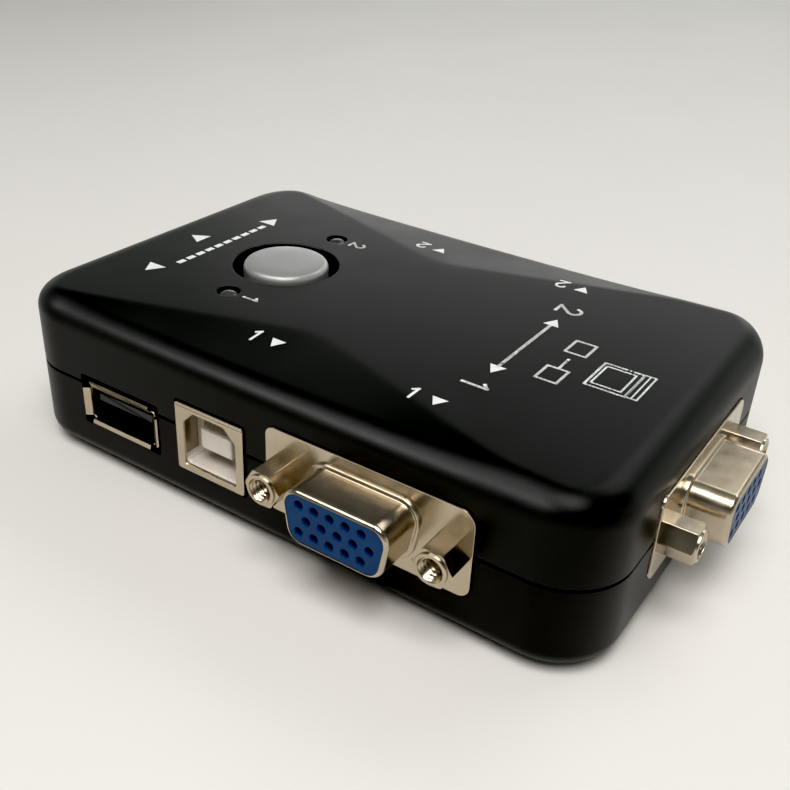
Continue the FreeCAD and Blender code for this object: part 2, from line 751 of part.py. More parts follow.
def corner_spot(corner, along, across):
    """(x, y) of a thing that stands once in each corner of the case."""
    side_x, side_y = corner
    return f"case_shift+{side_x}*{along}", f"{side_y}*{across}"


def top_section(index, station):
    """A cross-section of the upper shell: a flat plateau between two sloping flanks."""
    fade = min(1.0, max(0.0, (FADE_TO - abs(station)) / (FADE_TO - FADE_FROM)))
    fade = fade * fade * (3 - 2 * fade)
    half = SIZES["case_width"] / 2
    top = SIZES["plateau_top"]
    reach = math.hypot(station - SIZES["waist_shift"], SIZES["waist_round"])
    depth = max(SIZES["waist_depth"] - SIZES["waist_slope"] * reach, SIZES["waist_least"])
    edge = top - SIZES["flank_drop"] * fade * (1 + OVERHANG / depth)
    bottom = SIZES["part_line"] + SIZES["part_gap"] / 2
    points = [(-half - OVERHANG, bottom), (half + OVERHANG, bottom), (half + OVERHANG, edge),
              (half - depth, top), (depth - half, top), (-half - OVERHANG, edge)]
    wire = doc.addObject("Part::Feature", f"top_section_{index}")
    corners = [Vector(0, y, z) for y, z in points]
    wire.Shape = Part.makePolygon(corners + [corners[0]])
    return put(wire, (f"{station}+case_shift", 0, 0))


def top_outline(shape):
    """The edges between the upright walls and the top, all the way round."""
    found = []
    for number, edge in enumerate(shape.Edges, start=1):
        if min(corner.Z for corner in edge.Vertexes) < SIZES["plateau_top"] - SPARE_HEIGHT:
            continue
        middle = edge.valueAt((edge.FirstParameter + edge.LastParameter) / 2)
        for face in shape.Faces:
            if not any(edge.isSame(other) for other in face.Edges):
                continue
            if abs(face.normalAt(*face.Surface.parameter(middle)).z) < LEVEL:
                found.append(number)
                break
    return found


def upper_outside():
    """The upper shell's outer form: the loft trimmed to the plan, with its top edge rounded."""
    loft = doc.addObject("Part::Loft", "top_loft")
    loft.Sections = [top_section(i, station) for i, station in enumerate(STATIONS)]
    loft.Solid = True
    block = plan_block("upper_block", "part_line+part_gap/2", f"plateau_top+{SPARE_HEIGHT}")
    trimmed = doc.addObject("Part::MultiCommon", "upper_trimmed")
    trimmed.Shapes = [block, loft]
    doc.recompute()
    outside = doc.addObject("Part::Fillet", "upper_outside")
    outside.Base = trimmed
    radius = SIZES["top_fillet"]
    outside.Edges = [(number, radius, radius) for number in top_outline(trimmed.Shape)]
    return outside


def upper_openings():
    """The button's well, the holes for the two indicators and the bores of the four bosses."""
    guide_depth = f"guide_bottom-plateau_top-{PAST}"
    well = turned("button_well",
                  [("0", guide_depth), ("guide_bore", guide_depth), ("guide_bore", "ceiling-plateau_top"),
                   ("well_neck", "ceiling-plateau_top"), ("well_neck", "-well_depth"),
                   ("well_radius-well_chamfer", "-well_chamfer"), ("well_radius", "0"),
                   ("well_radius", f"{PAST}"), ("0", f"{PAST}")],
                  (BUTTON_X, 0, "plateau_top"))
    lamp_holes = [rod(f"lamp_hole_{side}", (BUTTON_X, f"{side}*lamp_y", f"ceiling-{PAST}"),
                      "lamp_hole", f"plateau_top-ceiling+2*{PAST}") for side in SIDES]
    boss_holes = [rod(f"boss_hole_{i}",
                      corner_spot(corner, "screw_x", "screw_y") + (f"board_top-{PAST}",),
                      "boss_hole_radius", f"screw_end-board_top+2*{PAST}")
                  for i, corner in enumerate(CORNERS)]
    return [well] + lamp_holes + boss_holes


def upper_shell():
    """The top of the case, hollow, with a rebate for the lower shell's lip and four screw bosses."""
    cavity = rounded_block("upper_cavity", "wall", f"part_line-{PAST}", "ceiling")
    rebate = rounded_block("upper_rebate", "rebate_inset", f"part_line-{PAST}", "part_line+lip_height")
    hollow = cut("upper_hollow", upper_outside(), fuse("upper_inside", [cavity, rebate]))
    bosses = [rod(f"boss_{i}", corner_spot(corner, "screw_x", "screw_y") + ("board_top",),
                  "boss_radius", f"ceiling+{OVERLAP}-board_top") for i, corner in enumerate(CORNERS)]
    guide = rod("button_guide", (BUTTON_X, 0, "guide_bottom"), "guide_radius",
                f"ceiling+{OVERLAP}-guide_bottom")
    body = fuse("upper_body", [hollow, guide] + bosses)
    node("upper_shell", cut("upper_shell", body, fuse("upper_cuts", upper_openings() + windows)))


def lower_openings():
    """A stepped well for each screw and a shallow recess for each foot."""
    openings = []
    seat = "screw_seat-foot_height"
    for i, corner in enumerate(CORNERS):
        spot = corner_spot(corner, "screw_x", "screw_y") + ("foot_height",)
        profile = [("0", f"-{PAST}"), ("screw_well_radius", f"-{PAST}"), ("screw_well_radius", seat),
                   ("screw_hole_radius", seat), ("screw_hole_radius", "board_top"), ("0", "board_top")]
        openings.append(turned(f"screw_well_{i}", profile, spot))
        openings.append(rod(f"foot_recess_{i}", corner_spot(corner, "foot_x", "foot_y") + ("0",),
                            "foot_radius+foot_gap", "foot_thickness"))
    return openings


def lower_shell():
    """The tray: floor, walls, the lip that enters the upper shell, and the board's posts."""
    rim = "part_line-part_gap/2"
    outside = rounded_block("lower_outside", "0", "foot_height", rim, "bottom_fillet")
    cavity = rounded_block("lower_cavity", "wall", "floor_top", f"part_line+2*{PAST}")
    tray = cut("lower_tray", outside, cavity)
    lip_outer = rounded_block("lip_outer", "lip_inset", rim, "part_line+lip_height")
    lip_inner = rounded_block("lip_inner", "wall", f"part_line-{PAST}", f"part_line+2*{PAST}")
    ring = cut("lip_ring", lip_outer, lip_inner)
    foot = f"floor_top-{OVERLAP}"
    rise = f"board_top-board_thick-({foot})"
    posts = [rod(f"post_{i}", corner_spot(corner, "screw_x", "screw_y") + (foot,), "post_radius", rise)
             for i, corner in enumerate(CORNERS)]
    posts.append(rod("middle_post", (BUTTON_X, 0, foot), "post_radius", rise))
    body = fuse("lower_body", [tray, ring] + posts)
    node("lower_shell", cut("lower_shell", body, fuse("lower_cuts", lower_openings() + windows)))


def case_screws():
    """Four pan-head screws with a cross in the head, driven up into the bosses."""
    screw = turned("screw_blank",
                   [("0", "screw_head_bottom"), ("screw_head_radius-head_taper", "screw_head_bottom"),
                    ("screw_head_radius", "screw_head_bottom+head_edge"),
                    ("screw_head_radius", "screw_seat"), ("screw_shank_radius", "screw_seat"),
                    ("screw_shank_radius", "screw_end-screw_tip_length"),
                    ("screw_tip_radius", "screw_end"), ("0", "screw_end")])
    cross_top = "screw_head_bottom+cross_depth"
    cross = fuse("screw_cross", [
        box("cross_a", ("-cross_long/2", "-cross_wide/2", "0"), ("cross_long", "cross_wide", cross_top)),
        box("cross_b", ("-cross_wide/2", "-cross_long/2", "0"), ("cross_wide", "cross_long", cross_top))])
    driven = cut("screw_driven", screw, cross)
    screws = [placed(f"screw_{i}", driven, corner_spot(corner, "screw_x", "screw_y") + (0,))
              for i, corner in enumerate(CORNERS)]
    node("case_screws", group("case_screws", screws))


def rubber_feet():
    foot = turned("foot_blank", [("0", "0"), ("foot_radius-foot_edge", "0"), ("foot_radius", "foot_edge"),
                                 ("foot_radius", "foot_thickness"), ("0", "foot_thickness")])
    feet = [placed(f"foot_{i}", foot, corner_spot(corner, "foot_x", "foot_y") + (0,))
            for i, corner in enumerate(CORNERS)]
    node("rubber_feet", group("rubber_feet", feet))


# ---------------------------------------------------------------------------------------------
# Button and indicators
# ---------------------------------------------------------------------------------------------
# the cap's rounded edge: (in from the side, below the middle of the top)
CAP_EDGE = [(0, 0.9), (0.25, 0.45), (0.8, 0.15), (1.8, 0.05)]
DOME_STEPS = 6
LAMPS = [(-1, "indicator_first"), (1, "indicator_second")]


def button_cap():
    """The pressed cap, with a flange under the ceiling and a stem down to the switch."""
    cap_top = "(plateau_top+cap_rise)"
    flange_top = "(ceiling-flange_play)"
    flange_foot = f"{flange_top}-flange_thick"
    profile = [("0", "plunger_top"), ("stem_radius", "plunger_top"), ("stem_radius", flange_foot),
               ("flange_radius", flange_foot), ("flange_radius", flange_top), ("cap_radius", flange_top)]
    profile += [(f"cap_radius-{inset}", f"{cap_top}-{drop}") for inset, drop in CAP_EDGE]
    node("button_cap", turned("button_cap", profile + [("0", cap_top)], (BUTTON_X, 0, 0)))


def tact_switch():
    """The switch under the button: a can on four legs, and the plunger in it."""
    foot = board_foot("0")
    can_top = "(board_top+tact_height)"
    profile = [("0", f"{can_top}-plunger_sunk"), ("plunger_radius", f"{can_top}-plunger_sunk"),
               ("plunger_radius", "plunger_top"), ("0", "plunger_top")]
    node("tact_switch_plunger", turned("tact_switch_plunger", profile, (BUTTON_X, 0, 0)))
    can = box("tact_can", (f"{BUTTON_X}-tact_side/2", "-tact_side/2", "board_top"),
              ("tact_side", "tact_side", "tact_height"))
    legs = []
    holes = []
    for i, (side_x, side_y) in enumerate(CORNERS):
        x = f"{BUTTON_X}+{side_x}*(tact_side/2+leg_reach)"
        y = f"{side_y}*leg_spread"
        legs.append(box(f"tact_leg_{i}", (f"{x}-leg_side/2", f"{y}-leg_side/2", foot),
                        ("leg_side", "leg_side", f"board_top+leg_rise-{foot}")))
        holes.append(drill(f"tact_drill_{i}", x, y, foot, "leg_drill"))
    bore = rod("tact_bore", (BUTTON_X, 0, f"{can_top}-tact_bore_depth"), "plunger_radius+plunger_gap",
               f"tact_bore_depth+{PAST}")
    node("tact_switch_body", cut("tact_switch_body", fuse("tact_metal", [can] + legs), bore))
    drills.append(group("tact_drills", holes))


def indicators():
    """Two lamps with round tops, each on two wires from the board."""
    foot = board_foot("0")
    profile = [("0", "0"), ("lamp_flange", "0"), ("lamp_flange", "lamp_rim"), ("lamp_radius", "lamp_rim"),
               ("lamp_radius", "lamp_height-lamp_radius")]
    for step in range(1, DOME_STEPS):
        angle = math.radians(90 * step / DOME_STEPS)
        profile.append((f"lamp_radius*{math.cos(angle):.4f}",
                        f"lamp_height-lamp_radius*{1 - math.sin(angle):.4f}"))
    profile.append(("0", "lamp_height"))
    leads = []
    holes = []
    for side, name in LAMPS:
        y = f"{side}*lamp_y"
        node(name, turned(name, profile, (BUTTON_X, y, "lamp_bottom")))
        for end in SIDES:
            x = f"{BUTTON_X}+{end}*lead_spread"
            leads.append(rod(f"{name}_lead_{end}", (x, y, foot), "lead_radius", f"lamp_bottom-{foot}"))
            holes.append(drill(f"{name}_drill_{end}", x, y, foot, "tail_drill"))
    node("indicator_leads", group("indicator_leads", leads))
    drills.append(group("lead_drills", holes))


# ---------------------------------------------------------------------------------------------
# Board and what is soldered on it; places are from the case's middle
# ---------------------------------------------------------------------------------------------
# chips: (x, y, length, width, height, legs on each side, distance between legs)
HUB_CHIP = (-3.5, 0.0, 9.8, 5.2, 1.7, 14, 0.65)
MICROCONTROLLER = (25.5, 0.0, 9.6, 5.3, 1.8, 8, 1.15)
VIDEO_SWITCHES = [(13.0, y, 8.6, 3.9, 1.5, 10, 0.8) for y in (-6.0, 6.0)]
CHIP_LIFT = 0.1                     # the moulded body stands this far off the board
KNEE_OUT, KNEE_WIDTH = 0.1, 0.5     # a leg's upright part
TOE_OUT, TOE_WIDTH = 0.55, 0.9      # a leg's flat part
TOE_THICK = 0.15
LEG_SHARE = 0.4                     # of the distance between legs that a leg takes
KNEE_SHARE = 0.55                   # of the chip's height that a leg reaches
# blocks: (x, y, length, width, height)
CRYSTAL = (-3.5, 8.0, 10.0, 4.4, 3.4)
REGULATOR = [(-3.5, -9.0, 6.5, 3.5, 1.6), (-3.5, -11.2, 3.0, 1.6, 0.3), (-3.5, -6.7, 5.3, 1.6, 0.3)]
RESISTORS = [(9.0 + 2.0 * column, y, 0.8, 1.6, 0.45) for y in (-1.6, 1.6) for column in range(5)]
CHIP_CAPACITORS = [(10.0 + 3.0 * column, y, 1.6, 0.8, 0.8) for y in (-12.5, 12.5) for column in range(4)]
BEADS = [(29.0, y, 3.0, 1.6, 1.1) for y in (-10.0, -13.0)]
CAN_PLACES = [(-11.5, 6.5), (5.0, -11.0), (25.0, 10.0)]
CAN_PROFILE = [(0, 0), (2.4, 0), (2.5, 0.2), (2.5, 6.6), (2.3, 6.9), (0, 6.9)]


def on_board(name, x, y, length, width, height, lift="0"):
    """A plain block on the board, centred on (x, y)."""
    return box(name, (f"case_shift+{x}-{length}/2", f"{y}-{width}/2", f"board_top+{lift}"),
               (length, width, height))


def chip(name, x, y, length, width, height, legs_per_side, pitch):
    """A moulded chip with gull legs along its two long sides."""
    parts = [on_board(f"{name}_mould", x, y, length, width, height, CHIP_LIFT)]
    for side in SIDES:
        edge = y + side * width / 2
        for leg in range(legs_per_side):
            leg_x = x + (leg - (legs_per_side - 1) / 2) * pitch
            parts.append(on_board(f"{name}_knee_{side}_{leg}", leg_x, edge + side * KNEE_OUT,
                                  pitch * LEG_SHARE, KNEE_WIDTH, height * KNEE_SHARE))
            parts.append(on_board(f"{name}_toe_{side}_{leg}", leg_x, edge + side * TOE_OUT,
                                  pitch * LEG_SHARE, TOE_WIDTH, TOE_THICK))
    return fuse(name, parts)


def blocks(name, places):
    return [on_board(f"{name}_{i}", *place) for i, place in enumerate(places)]


def circuit_board():
    """The board, drilled for every tail, leg, lead and peg that goes through it."""
    blank = rounded_block("board_blank", "wall+board_gap", "board_top-board_thick", "board_top")
    holes = [rod(f"board_hole_{i}",
                 corner_spot(corner, "screw_x", "screw_y") + (f"board_top-board_thick-{PAST}",),
                 "screw_hole_radius", f"board_thick+2*{PAST}") for i, corner in enumerate(CORNERS)]
    node("circuit_board", cut("circuit_board", blank, fuse("board_openings", holes + drills)))


def board_parts():
    node("hub_chip", chip("hub_chip", *HUB_CHIP))
    switches = [chip(f"video_switch_{i}", *place) for i, place in enumerate(VIDEO_SWITCHES)]
    node("video_switch_chips", group("video_switch_chips", switches))
    node("microcontroller", chip("microcontroller", *MICROCONTROLLER))
    node("crystal", group("crystal", [on_board("crystal_can", *CRYSTAL)]))
    cans = [turned(f"capacitor_{i}", CAN_PROFILE, (f"case_shift+{x}", y, "board_top"))
            for i, (x, y) in enumerate(CAN_PLACES)]
    node("electrolytic_capacitors", group("electrolytic_capacitors", cans))
    node("voltage_regulator", fuse("voltage_regulator", blocks("regulator", REGULATOR)))
    node("chip_resistors", group("chip_resistors", blocks("resistor", RESISTORS)))
    node("chip_capacitors", group("chip_capacitors", blocks("chip_capacitor", CHIP_CAPACITORS)))
    node("ferrite_beads", group("ferrite_beads", blocks("bead", BEADS)))


# ---------------------------------------------------------------------------------------------
# Build, check and write
# ---------------------------------------------------------------------------------------------
def faults_found():
    """What failed to compute, and sub-parts without a valid solid."""
    faults = []
    for thing in doc.Objects:
        if "Invalid" in thing.State or "Error" in thing.State:
            faults.append(f"{thing.Name}: {thing.State}")
    for name, thing in nodes.items():
        if thing.Shape.isNull() or not thing.Shape.isValid() or not thing.Shape.Solids:
            faults.append(f"{name}: no valid solid")
    return faults


def write_parts():
    """Each node as a STEP file: one solid, or a compound where the node is a group."""
    os.makedirs("parts", exist_ok=True)
    for name, thing in nodes.items():
        solids = thing.Shape.Solids
        shape = solids[0] if len(solids) == 1 else Part.makeCompound(solids)
        shape.exportStep(f"parts/{name}.step")
        print(f"{name}: {len(solids)} solid(s), {shape.Volume:.1f} mm3")
    print(f"{len(nodes)} nodes")


place_family("video", VIDEO_SPOTS, VIDEO_Z, *video_masters())
place_family("usb_a", USB_A_SPOTS, USB_A_Z, *usb_a_masters())
place_family("usb_b", USB_B_SPOTS, USB_B_Z, *usb_b_masters())
button_cap()
tact_switch()
indicators()
upper_shell()
lower_shell()
case_screws()
rubber_feet()
circuit_board()
board_parts()
doc.recompute()
faults = faults_found()
if faults:
    raise RuntimeError("; ".join(faults))
write_parts()
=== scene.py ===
"""Looks of a desktop switch box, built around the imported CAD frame.

The case, sockets, button, lamps, feet and screws are detailed pieces made here. The board, what is on
it and the sockets' hidden parts are the CAD nodes, repainted. Local shapes are written in millimetres
and placed with a matrix; the frame itself is in metres.
"""

import json
import math

import bmesh
import bpy
from mathutils import Matrix, Vector


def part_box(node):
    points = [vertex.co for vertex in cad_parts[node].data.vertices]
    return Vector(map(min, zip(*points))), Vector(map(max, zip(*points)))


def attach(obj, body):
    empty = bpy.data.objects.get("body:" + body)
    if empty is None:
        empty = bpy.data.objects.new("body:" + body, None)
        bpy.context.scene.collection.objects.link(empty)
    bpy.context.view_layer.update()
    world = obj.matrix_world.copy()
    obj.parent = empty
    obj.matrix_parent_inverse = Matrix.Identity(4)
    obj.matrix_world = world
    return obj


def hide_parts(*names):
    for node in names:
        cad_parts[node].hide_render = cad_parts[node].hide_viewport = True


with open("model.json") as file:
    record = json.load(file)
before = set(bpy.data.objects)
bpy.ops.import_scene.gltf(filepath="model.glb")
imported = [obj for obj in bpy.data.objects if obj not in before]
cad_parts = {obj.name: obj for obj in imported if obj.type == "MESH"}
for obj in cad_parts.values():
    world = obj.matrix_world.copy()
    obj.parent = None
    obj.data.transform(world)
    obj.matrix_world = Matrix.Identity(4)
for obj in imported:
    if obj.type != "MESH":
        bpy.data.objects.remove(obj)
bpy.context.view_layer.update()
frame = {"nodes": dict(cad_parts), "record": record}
MM = 0.001
WELD = 0.0005  # points closer than this become one
AXIS_R = 1e-4  # the radius that stands for the axis in a turned solid
NORMAL_WEIGHT = 60
NODES = frame["nodes"]
MOUNTS = {mount["name"]: Vector(mount["pos_m"]) / MM for mount in frame["record"]["mounts"]}


def node_box(name):
    """A CAD node's lowest and highest corner, in millimetres."""
    low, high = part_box(name)
    return low / MM, high / MM


# ---- Sizes read from the frame, in millimetres
UPPER_LOW, UPPER_HIGH = node_box("upper_shell")
CAP_LOW, CAP_HIGH = node_box("button_cap")
SCREW_LOW, SCREW_HIGH = node_box("case_screws")
FEET_LOW, FEET_HIGH = node_box("rubber_feet")
BOARD_LOW, BOARD_HIGH = node_box("circuit_board")
CASE_X = (UPPER_LOW.x + UPPER_HIGH.x) / 2
HALF_X = (UPPER_HIGH.x - UPPER_LOW.x) / 2
HALF_Y = (UPPER_HIGH.y - UPPER_LOW.y) / 2
PLATEAU = UPPER_HIGH.z
UNDERSIDE = node_box("lower_shell")[0].z
PART_LINE = MOUNTS["front_video_plug"].z
BUTTON_X = (CAP_LOW.x + CAP_HIGH.x) / 2
LAMPS = {name: sum(node_box(name), Vector()) / 2 for name in ("indicator_first", "indicator_second")}
HEAD_R = 2.5  # of a case screw
SCREW_X = (SCREW_HIGH.x - SCREW_LOW.x) / 2 - HEAD_R
SCREW_Y = (SCREW_HIGH.y - SCREW_LOW.y) / 2 - HEAD_R
FOOT_R = 4.0
FOOT_X = (FEET_HIGH.x - FEET_LOW.x) / 2 - FOOT_R
FOOT_Y = (FEET_HIGH.y - FEET_LOW.y) / 2 - FOOT_R
CORNERS = [(-1, -1), (1, -1), (-1, 1), (1, 1)]

# ---- The case's own sizes, in millimetres
CORNER = 9.0
WALL = 2.0
TOP_DEPTH = 3.05  # from the plateau down to the ceiling
CEILING = PLATEAU - TOP_DEPTH
FLOOR_TOP = UNDERSIDE + WALL
SIDE_FILLET = 3.0
END_FILLET = 4.4
FOOT_FILLET = 2.5
PART_GAP = 0.3
LIP_RISE = 1.2  # the shells' overlapping lips, above the part line
UPPER_LIP = 1.0  # how deep in the wall the two lips meet
LOWER_LIP = 1.05
SEAM_ROUND = 0.14  # rounding of the seam's two edges, and its inner point
SEAM_NIP = 0.04
INNER_CHAMFER = 0.5
CORNER_STEPS = 16
SIDE_STEPS = [88, 50, 88, 50]  # points along the sides, dense enough for the flanks
EDGE_STEPS = 12
FOOT_STEPS = 8
TOP_RINGS = 30
TOP_REACH = 0.55  # how far to the middle the top's rings go; inside them it is flat
CASE_BEVEL = 0.13

WAIST_X = -2.9  # middle of the plateau's waist, from the case's middle
WAIST_DEPTH = 15.4
WAIST_SLOPE = 0.345
WAIST_ROUND = 2.5
WAIST_LEAST = 3.0
WAIST_BLEND = 1.0  # softness of the change to the least depth
FLANK_DROP = 1.05
END_FLAT = 2.5  # the flanks end this far from the case's ends
END_FADE = 9.0  # and take this length to reach their full drop
CREASE = 0.05  # softness of the edge between the plateau and its flanks

PAST = 1.0  # how far a cutting solid reaches past what it cuts
BOSS_R = 3.0
BOSS_BORE = (1.3, 5.0, 14.0)  # radius, low and high
BOSS_ROOT = 0.8  # how far a boss runs into the ceiling
POST_R = 3.4
POST_ROOT = 0.6  # how far a post runs into the floor
HEAD_HOLE_R = 2.9
HEAD_HOLE_DEPTH = 1.6
SHANK_HOLE_R = 1.6
FOOT_GAP = 0.1
FOOT_TOP = 1.5

CAP_R = 6.6
FLANGE_R = 7.9
WELL_R = 8.35
WELL_NECK = 6.95
WELL_DEPTH = 2.3
GUIDE_R = 9.4
GUIDE_BORE = 8.2
GUIDE_LOW = 19.0
GUIDE_BORE_LOW = 17.0
LAMP_HOLE_R = 1.72


# ---- Mesh helpers
def new_object(name, verts, faces, place=None):
    """A mesh object from millimetre points; its place goes into the mesh."""
    place = place or Matrix.Identity(4)
    mesh = bpy.data.meshes.new(name)
    mesh.from_pydata([place @ Vector(point) * MM for point in verts], [], faces)
    mesh.update()
    thing = bpy.data.objects.new(name, mesh)
    bpy.context.scene.collection.objects.link(thing)
    work = bmesh.new()
    work.from_mesh(mesh)
    bmesh.ops.remove_doubles(work, verts=work.verts, dist=WELD * MM)
    bmesh.ops.recalc_face_normals(work, faces=work.faces)
    work.to_mesh(mesh)
    work.free()
    return thing


def stack(rings, loop=False):
    """Quads between successive rings of equal count; the ends are capped unless the stack loops."""
    count = len(rings[0])
    verts = [point for ring in rings for point in ring]
    faces = []
    total = len(rings)
    for level in range(total if loop else total - 1):
        after = (level + 1) % total
        for i in range(count):
            j = (i + 1) % count
            faces.append((level * count + i, level * count + j, after * count + j, after * count + i))
    if not loop:
        faces.append(tuple(range(count))[::-1])
        faces.append(tuple((total - 1) * count + i for i in range(count)))
    return verts, faces


def merge(parts):
    """Several (verts, faces) as one."""
    verts, faces = [], []
    for more_verts, more_faces in parts:
        base = len(verts)
        verts += more_verts
        faces += [tuple(base + i for i in face) for face in more_faces]
    return verts, faces


def taken_apart(thing):
    """An object's (verts, faces) in millimetres; the object itself is removed."""
    verts = [tuple(vertex.co / MM) for vertex in thing.data.vertices]
    faces = [tuple(face.vertices) for face in thing.data.polygons]
    bpy.data.objects.remove(thing)
    return verts, faces


def shifted(part, offset):
    verts, faces = part
    return [tuple(Vector(point) + Vector(offset)) for point in verts], faces


def at_corners(part, half_x, half_y):
    """Copies of a part that is built about the z axis, towards the case's four corners."""
    return [shifted(part, (CASE_X + sx * half_x, sy * half_y, 0)) for sx, sy in CORNERS]


def settle(thing):
    """Apply the object's modifiers."""
    graph = bpy.context.evaluated_depsgraph_get()
    mesh = bpy.data.meshes.new_from_object(thing.evaluated_get(graph))
    thing.modifiers.clear()
    old = thing.data
    thing.data = mesh
    bpy.data.meshes.remove(old)
    return thing


def boolean(thing, part, operation="DIFFERENCE"):
    """Take a (verts, faces) solid away, join it on, or keep what both share."""
    tool = new_object("tool", *part)
    step = thing.modifiers.new("boolean", "BOOLEAN")
    step.operation = operation
    step.solver = "EXACT"
    step.object = tool
    settle(thing)
    bpy.data.objects.remove(tool)


def bevel(thing, width, angle=35, segments=3):
    step = thing.modifiers.new("bevel", "BEVEL")
    step.width = width * MM
    step.segments = segments
    step.limit_method = "ANGLE"
    step.angle_limit = math.radians(angle)
    settle(thing)


def smooth(thing, sharp=50):
    """Smooth shading with weighted normals, and creases over the sharp angle."""
    thing.data.shade_smooth()
    thing.data.set_sharp_from_angle(angle=math.radians(sharp))
    step = thing.modifiers.new("normals", "WEIGHTED_NORMAL")
    step.keep_sharp = True
    step.weight = NORMAL_WEIGHT
    return settle(thing)


def finish_piece(thing, body, slot, replaced):
    """Paint a piece, make it ride on its body and hide the CAD node it stands for."""
    thing.data.materials.clear()
    thing.data.materials.append(MATERIALS[slot])
    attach(thing, body)
    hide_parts(replaced)
    return thing


def arc(centre, radius, start, end, steps):
    """Points of a circular arc in a plane, angles in degrees."""
    points = []
    for i in range(steps + 1):
        angle = math.radians(start + (end - start) * i / steps)
        points.append((centre[0] + radius * math.cos(angle), centre[1] + radius * math.sin(angle)))
    return points


def lathe(profile, segments=64):
    """A solid of revolution about z from (radius, height) pairs that start and end on the axis."""
    rings = []
    for radius, height in profile:
        radius = max(radius, AXIS_R)
        ring = []
        for i in range(segments):
            angle = 2 * math.pi * i / segments
            ring.append((radius * math.cos(angle), radius * math.sin(angle), height))
        rings.append(ring)
    return stack(rings)


def cylinder(radius, low, high, segments=64):
    """An upright cylinder about z."""
    return lathe([(0, low), (radius, low), (radius, high), (0, high)], segments)


def outline(corners, radii, steps=8, side_steps=1):
    """(x, y, normal x, normal y) round a convex polygon with rounded corners, anticlockwise."""
    count = len(corners)
    radii = radii if isinstance(radii, list) else [radii] * count
    side_steps = side_steps if isinstance(side_steps, list) else [side_steps] * count
    normals = []
    for i in range(count):
        (ax, ay), (bx, by) = corners[i], corners[(i + 1) % count]
        length = math.hypot(bx - ax, by - ay)
        normals.append(((by - ay) / length, (ax - bx) / length))
    arcs = []
    for i in range(count):
        before, after = normals[i - 1], normals[i]
        start = math.atan2(before[1], before[0])
        turn = (math.atan2(after[1], after[0]) - start) % (2 * math.pi)
        share = radii[i] / (1 + before[0] * after[0] + before[1] * after[1])
        cx = corners[i][0] - share * (before[0] + after[0])
        cy = corners[i][1] - share * (before[1] + after[1])
        points = []
        for step in range(steps + 1):
            nx, ny = math.cos(start + turn * step / steps), math.sin(start + turn * step / steps)
            points.append((cx + radii[i] * nx, cy + radii[i] * ny, nx, ny))
        arcs.append(points)
    round_it = []
    for i, points in enumerate(arcs):
        round_it += points
        ax, ay, nx, ny = points[-1]
        bx, by = arcs[(i + 1) % count][0][:2]
        for step in range(1, side_steps[i]):
            share = step / side_steps[i]
            round_it.append((ax + (bx - ax) * share, ay + (by - ay) * share, nx, ny))
    return round_it


def moved_in(line, inset):
    return [(x - inset * nx, y - inset * ny) for x, y, nx, ny in line]


def upright(line, profile, loop=False):
    """A solid whose outline lies across y: the profile is (inset, y) pairs."""
    return stack([[(x, y, z) for x, z in moved_in(line, inset)] for inset, y in profile], loop)


def prism(plan, low, high):
    """A solid with a flat (x, y) outline between two heights."""
    return stack([[(x, y, z) for x, y in plan] for z in (low, high)])


def rectangle(half_x, half_y):
    return [(half_x, half_y), (-half_x, half_y), (-half_x, -half_y), (half_x, -half_y)]


def block(low, high):
    """A plain box between two corners, as (verts, faces)."""
    plan = [(low[0], low[1]), (high[0], low[1]), (high[0], high[1]), (low[0], high[1])]
    return prism(plan, low[2], high[2])


# ---- Where the sockets sit, from the mounts
NOSE = -MOUNTS["front_video_plug"].y - HALF_Y  # the video nose, out of the wall
LIP_PROUD = -MOUNTS["front_usb_a_plug"].y - HALF_Y  # a socket's metal, out of the wall
JACK_LENGTH = -MOUNTS["front_video_screws"].y - HALF_Y


def family_places(family, proud, sides):
    """Each socket's matrix, from its plug's mount: wall plane y = 0 and outwards -Y before its turn."""
    places = {}
    for side, angle in sides.items():
        turn = Matrix.Rotation(math.radians(angle), 4, "Z")
        outward = turn @ Vector((0, -proud, 0))
        places[side] = Matrix.Translation(MOUNTS[f"{side}_{family}_plug"] - outward) @ turn
    return places


VIDEO = family_places("video", NOSE, {"front": 0, "back": 180, "monitor": 90})
USB_A = family_places("usb_a", LIP_PROUD, {"front": 0, "back": 180, "end": -90})
USB_B = family_places("usb_b", LIP_PROUD, {"front": 0, "back": 180})
PLACES = {"video": VIDEO, "usb_a": USB_A, "usb_b": USB_B}
VIDEO_PLATE = (30.8, 12.5)
WINDOWS = {  # width, height, corner radius and rise of each opening
    "video": (VIDEO_PLATE[0] + 0.4, VIDEO_PLATE[1] + 0.4, 2.2, 0.0),
    "usb_a": (15.3, 8.0, 0.3, 0.4),
    "usb_b": (12.56, 11.2, 0.5, 0.0),
}
WINDOW_REACH = (-1.5, WALL + 0.6)  # the cut through the wall, from outside to inside


# ---- Materials
NOISE_LOW, NOISE_HIGH = 0.3, 0.7  # most of a noise lies between these
MIX_SHARE, MIX_FIRST, MIX_SECOND, MIX_RESULT = 0, 6, 7, 2  # sockets of a Mix node that mixes colours


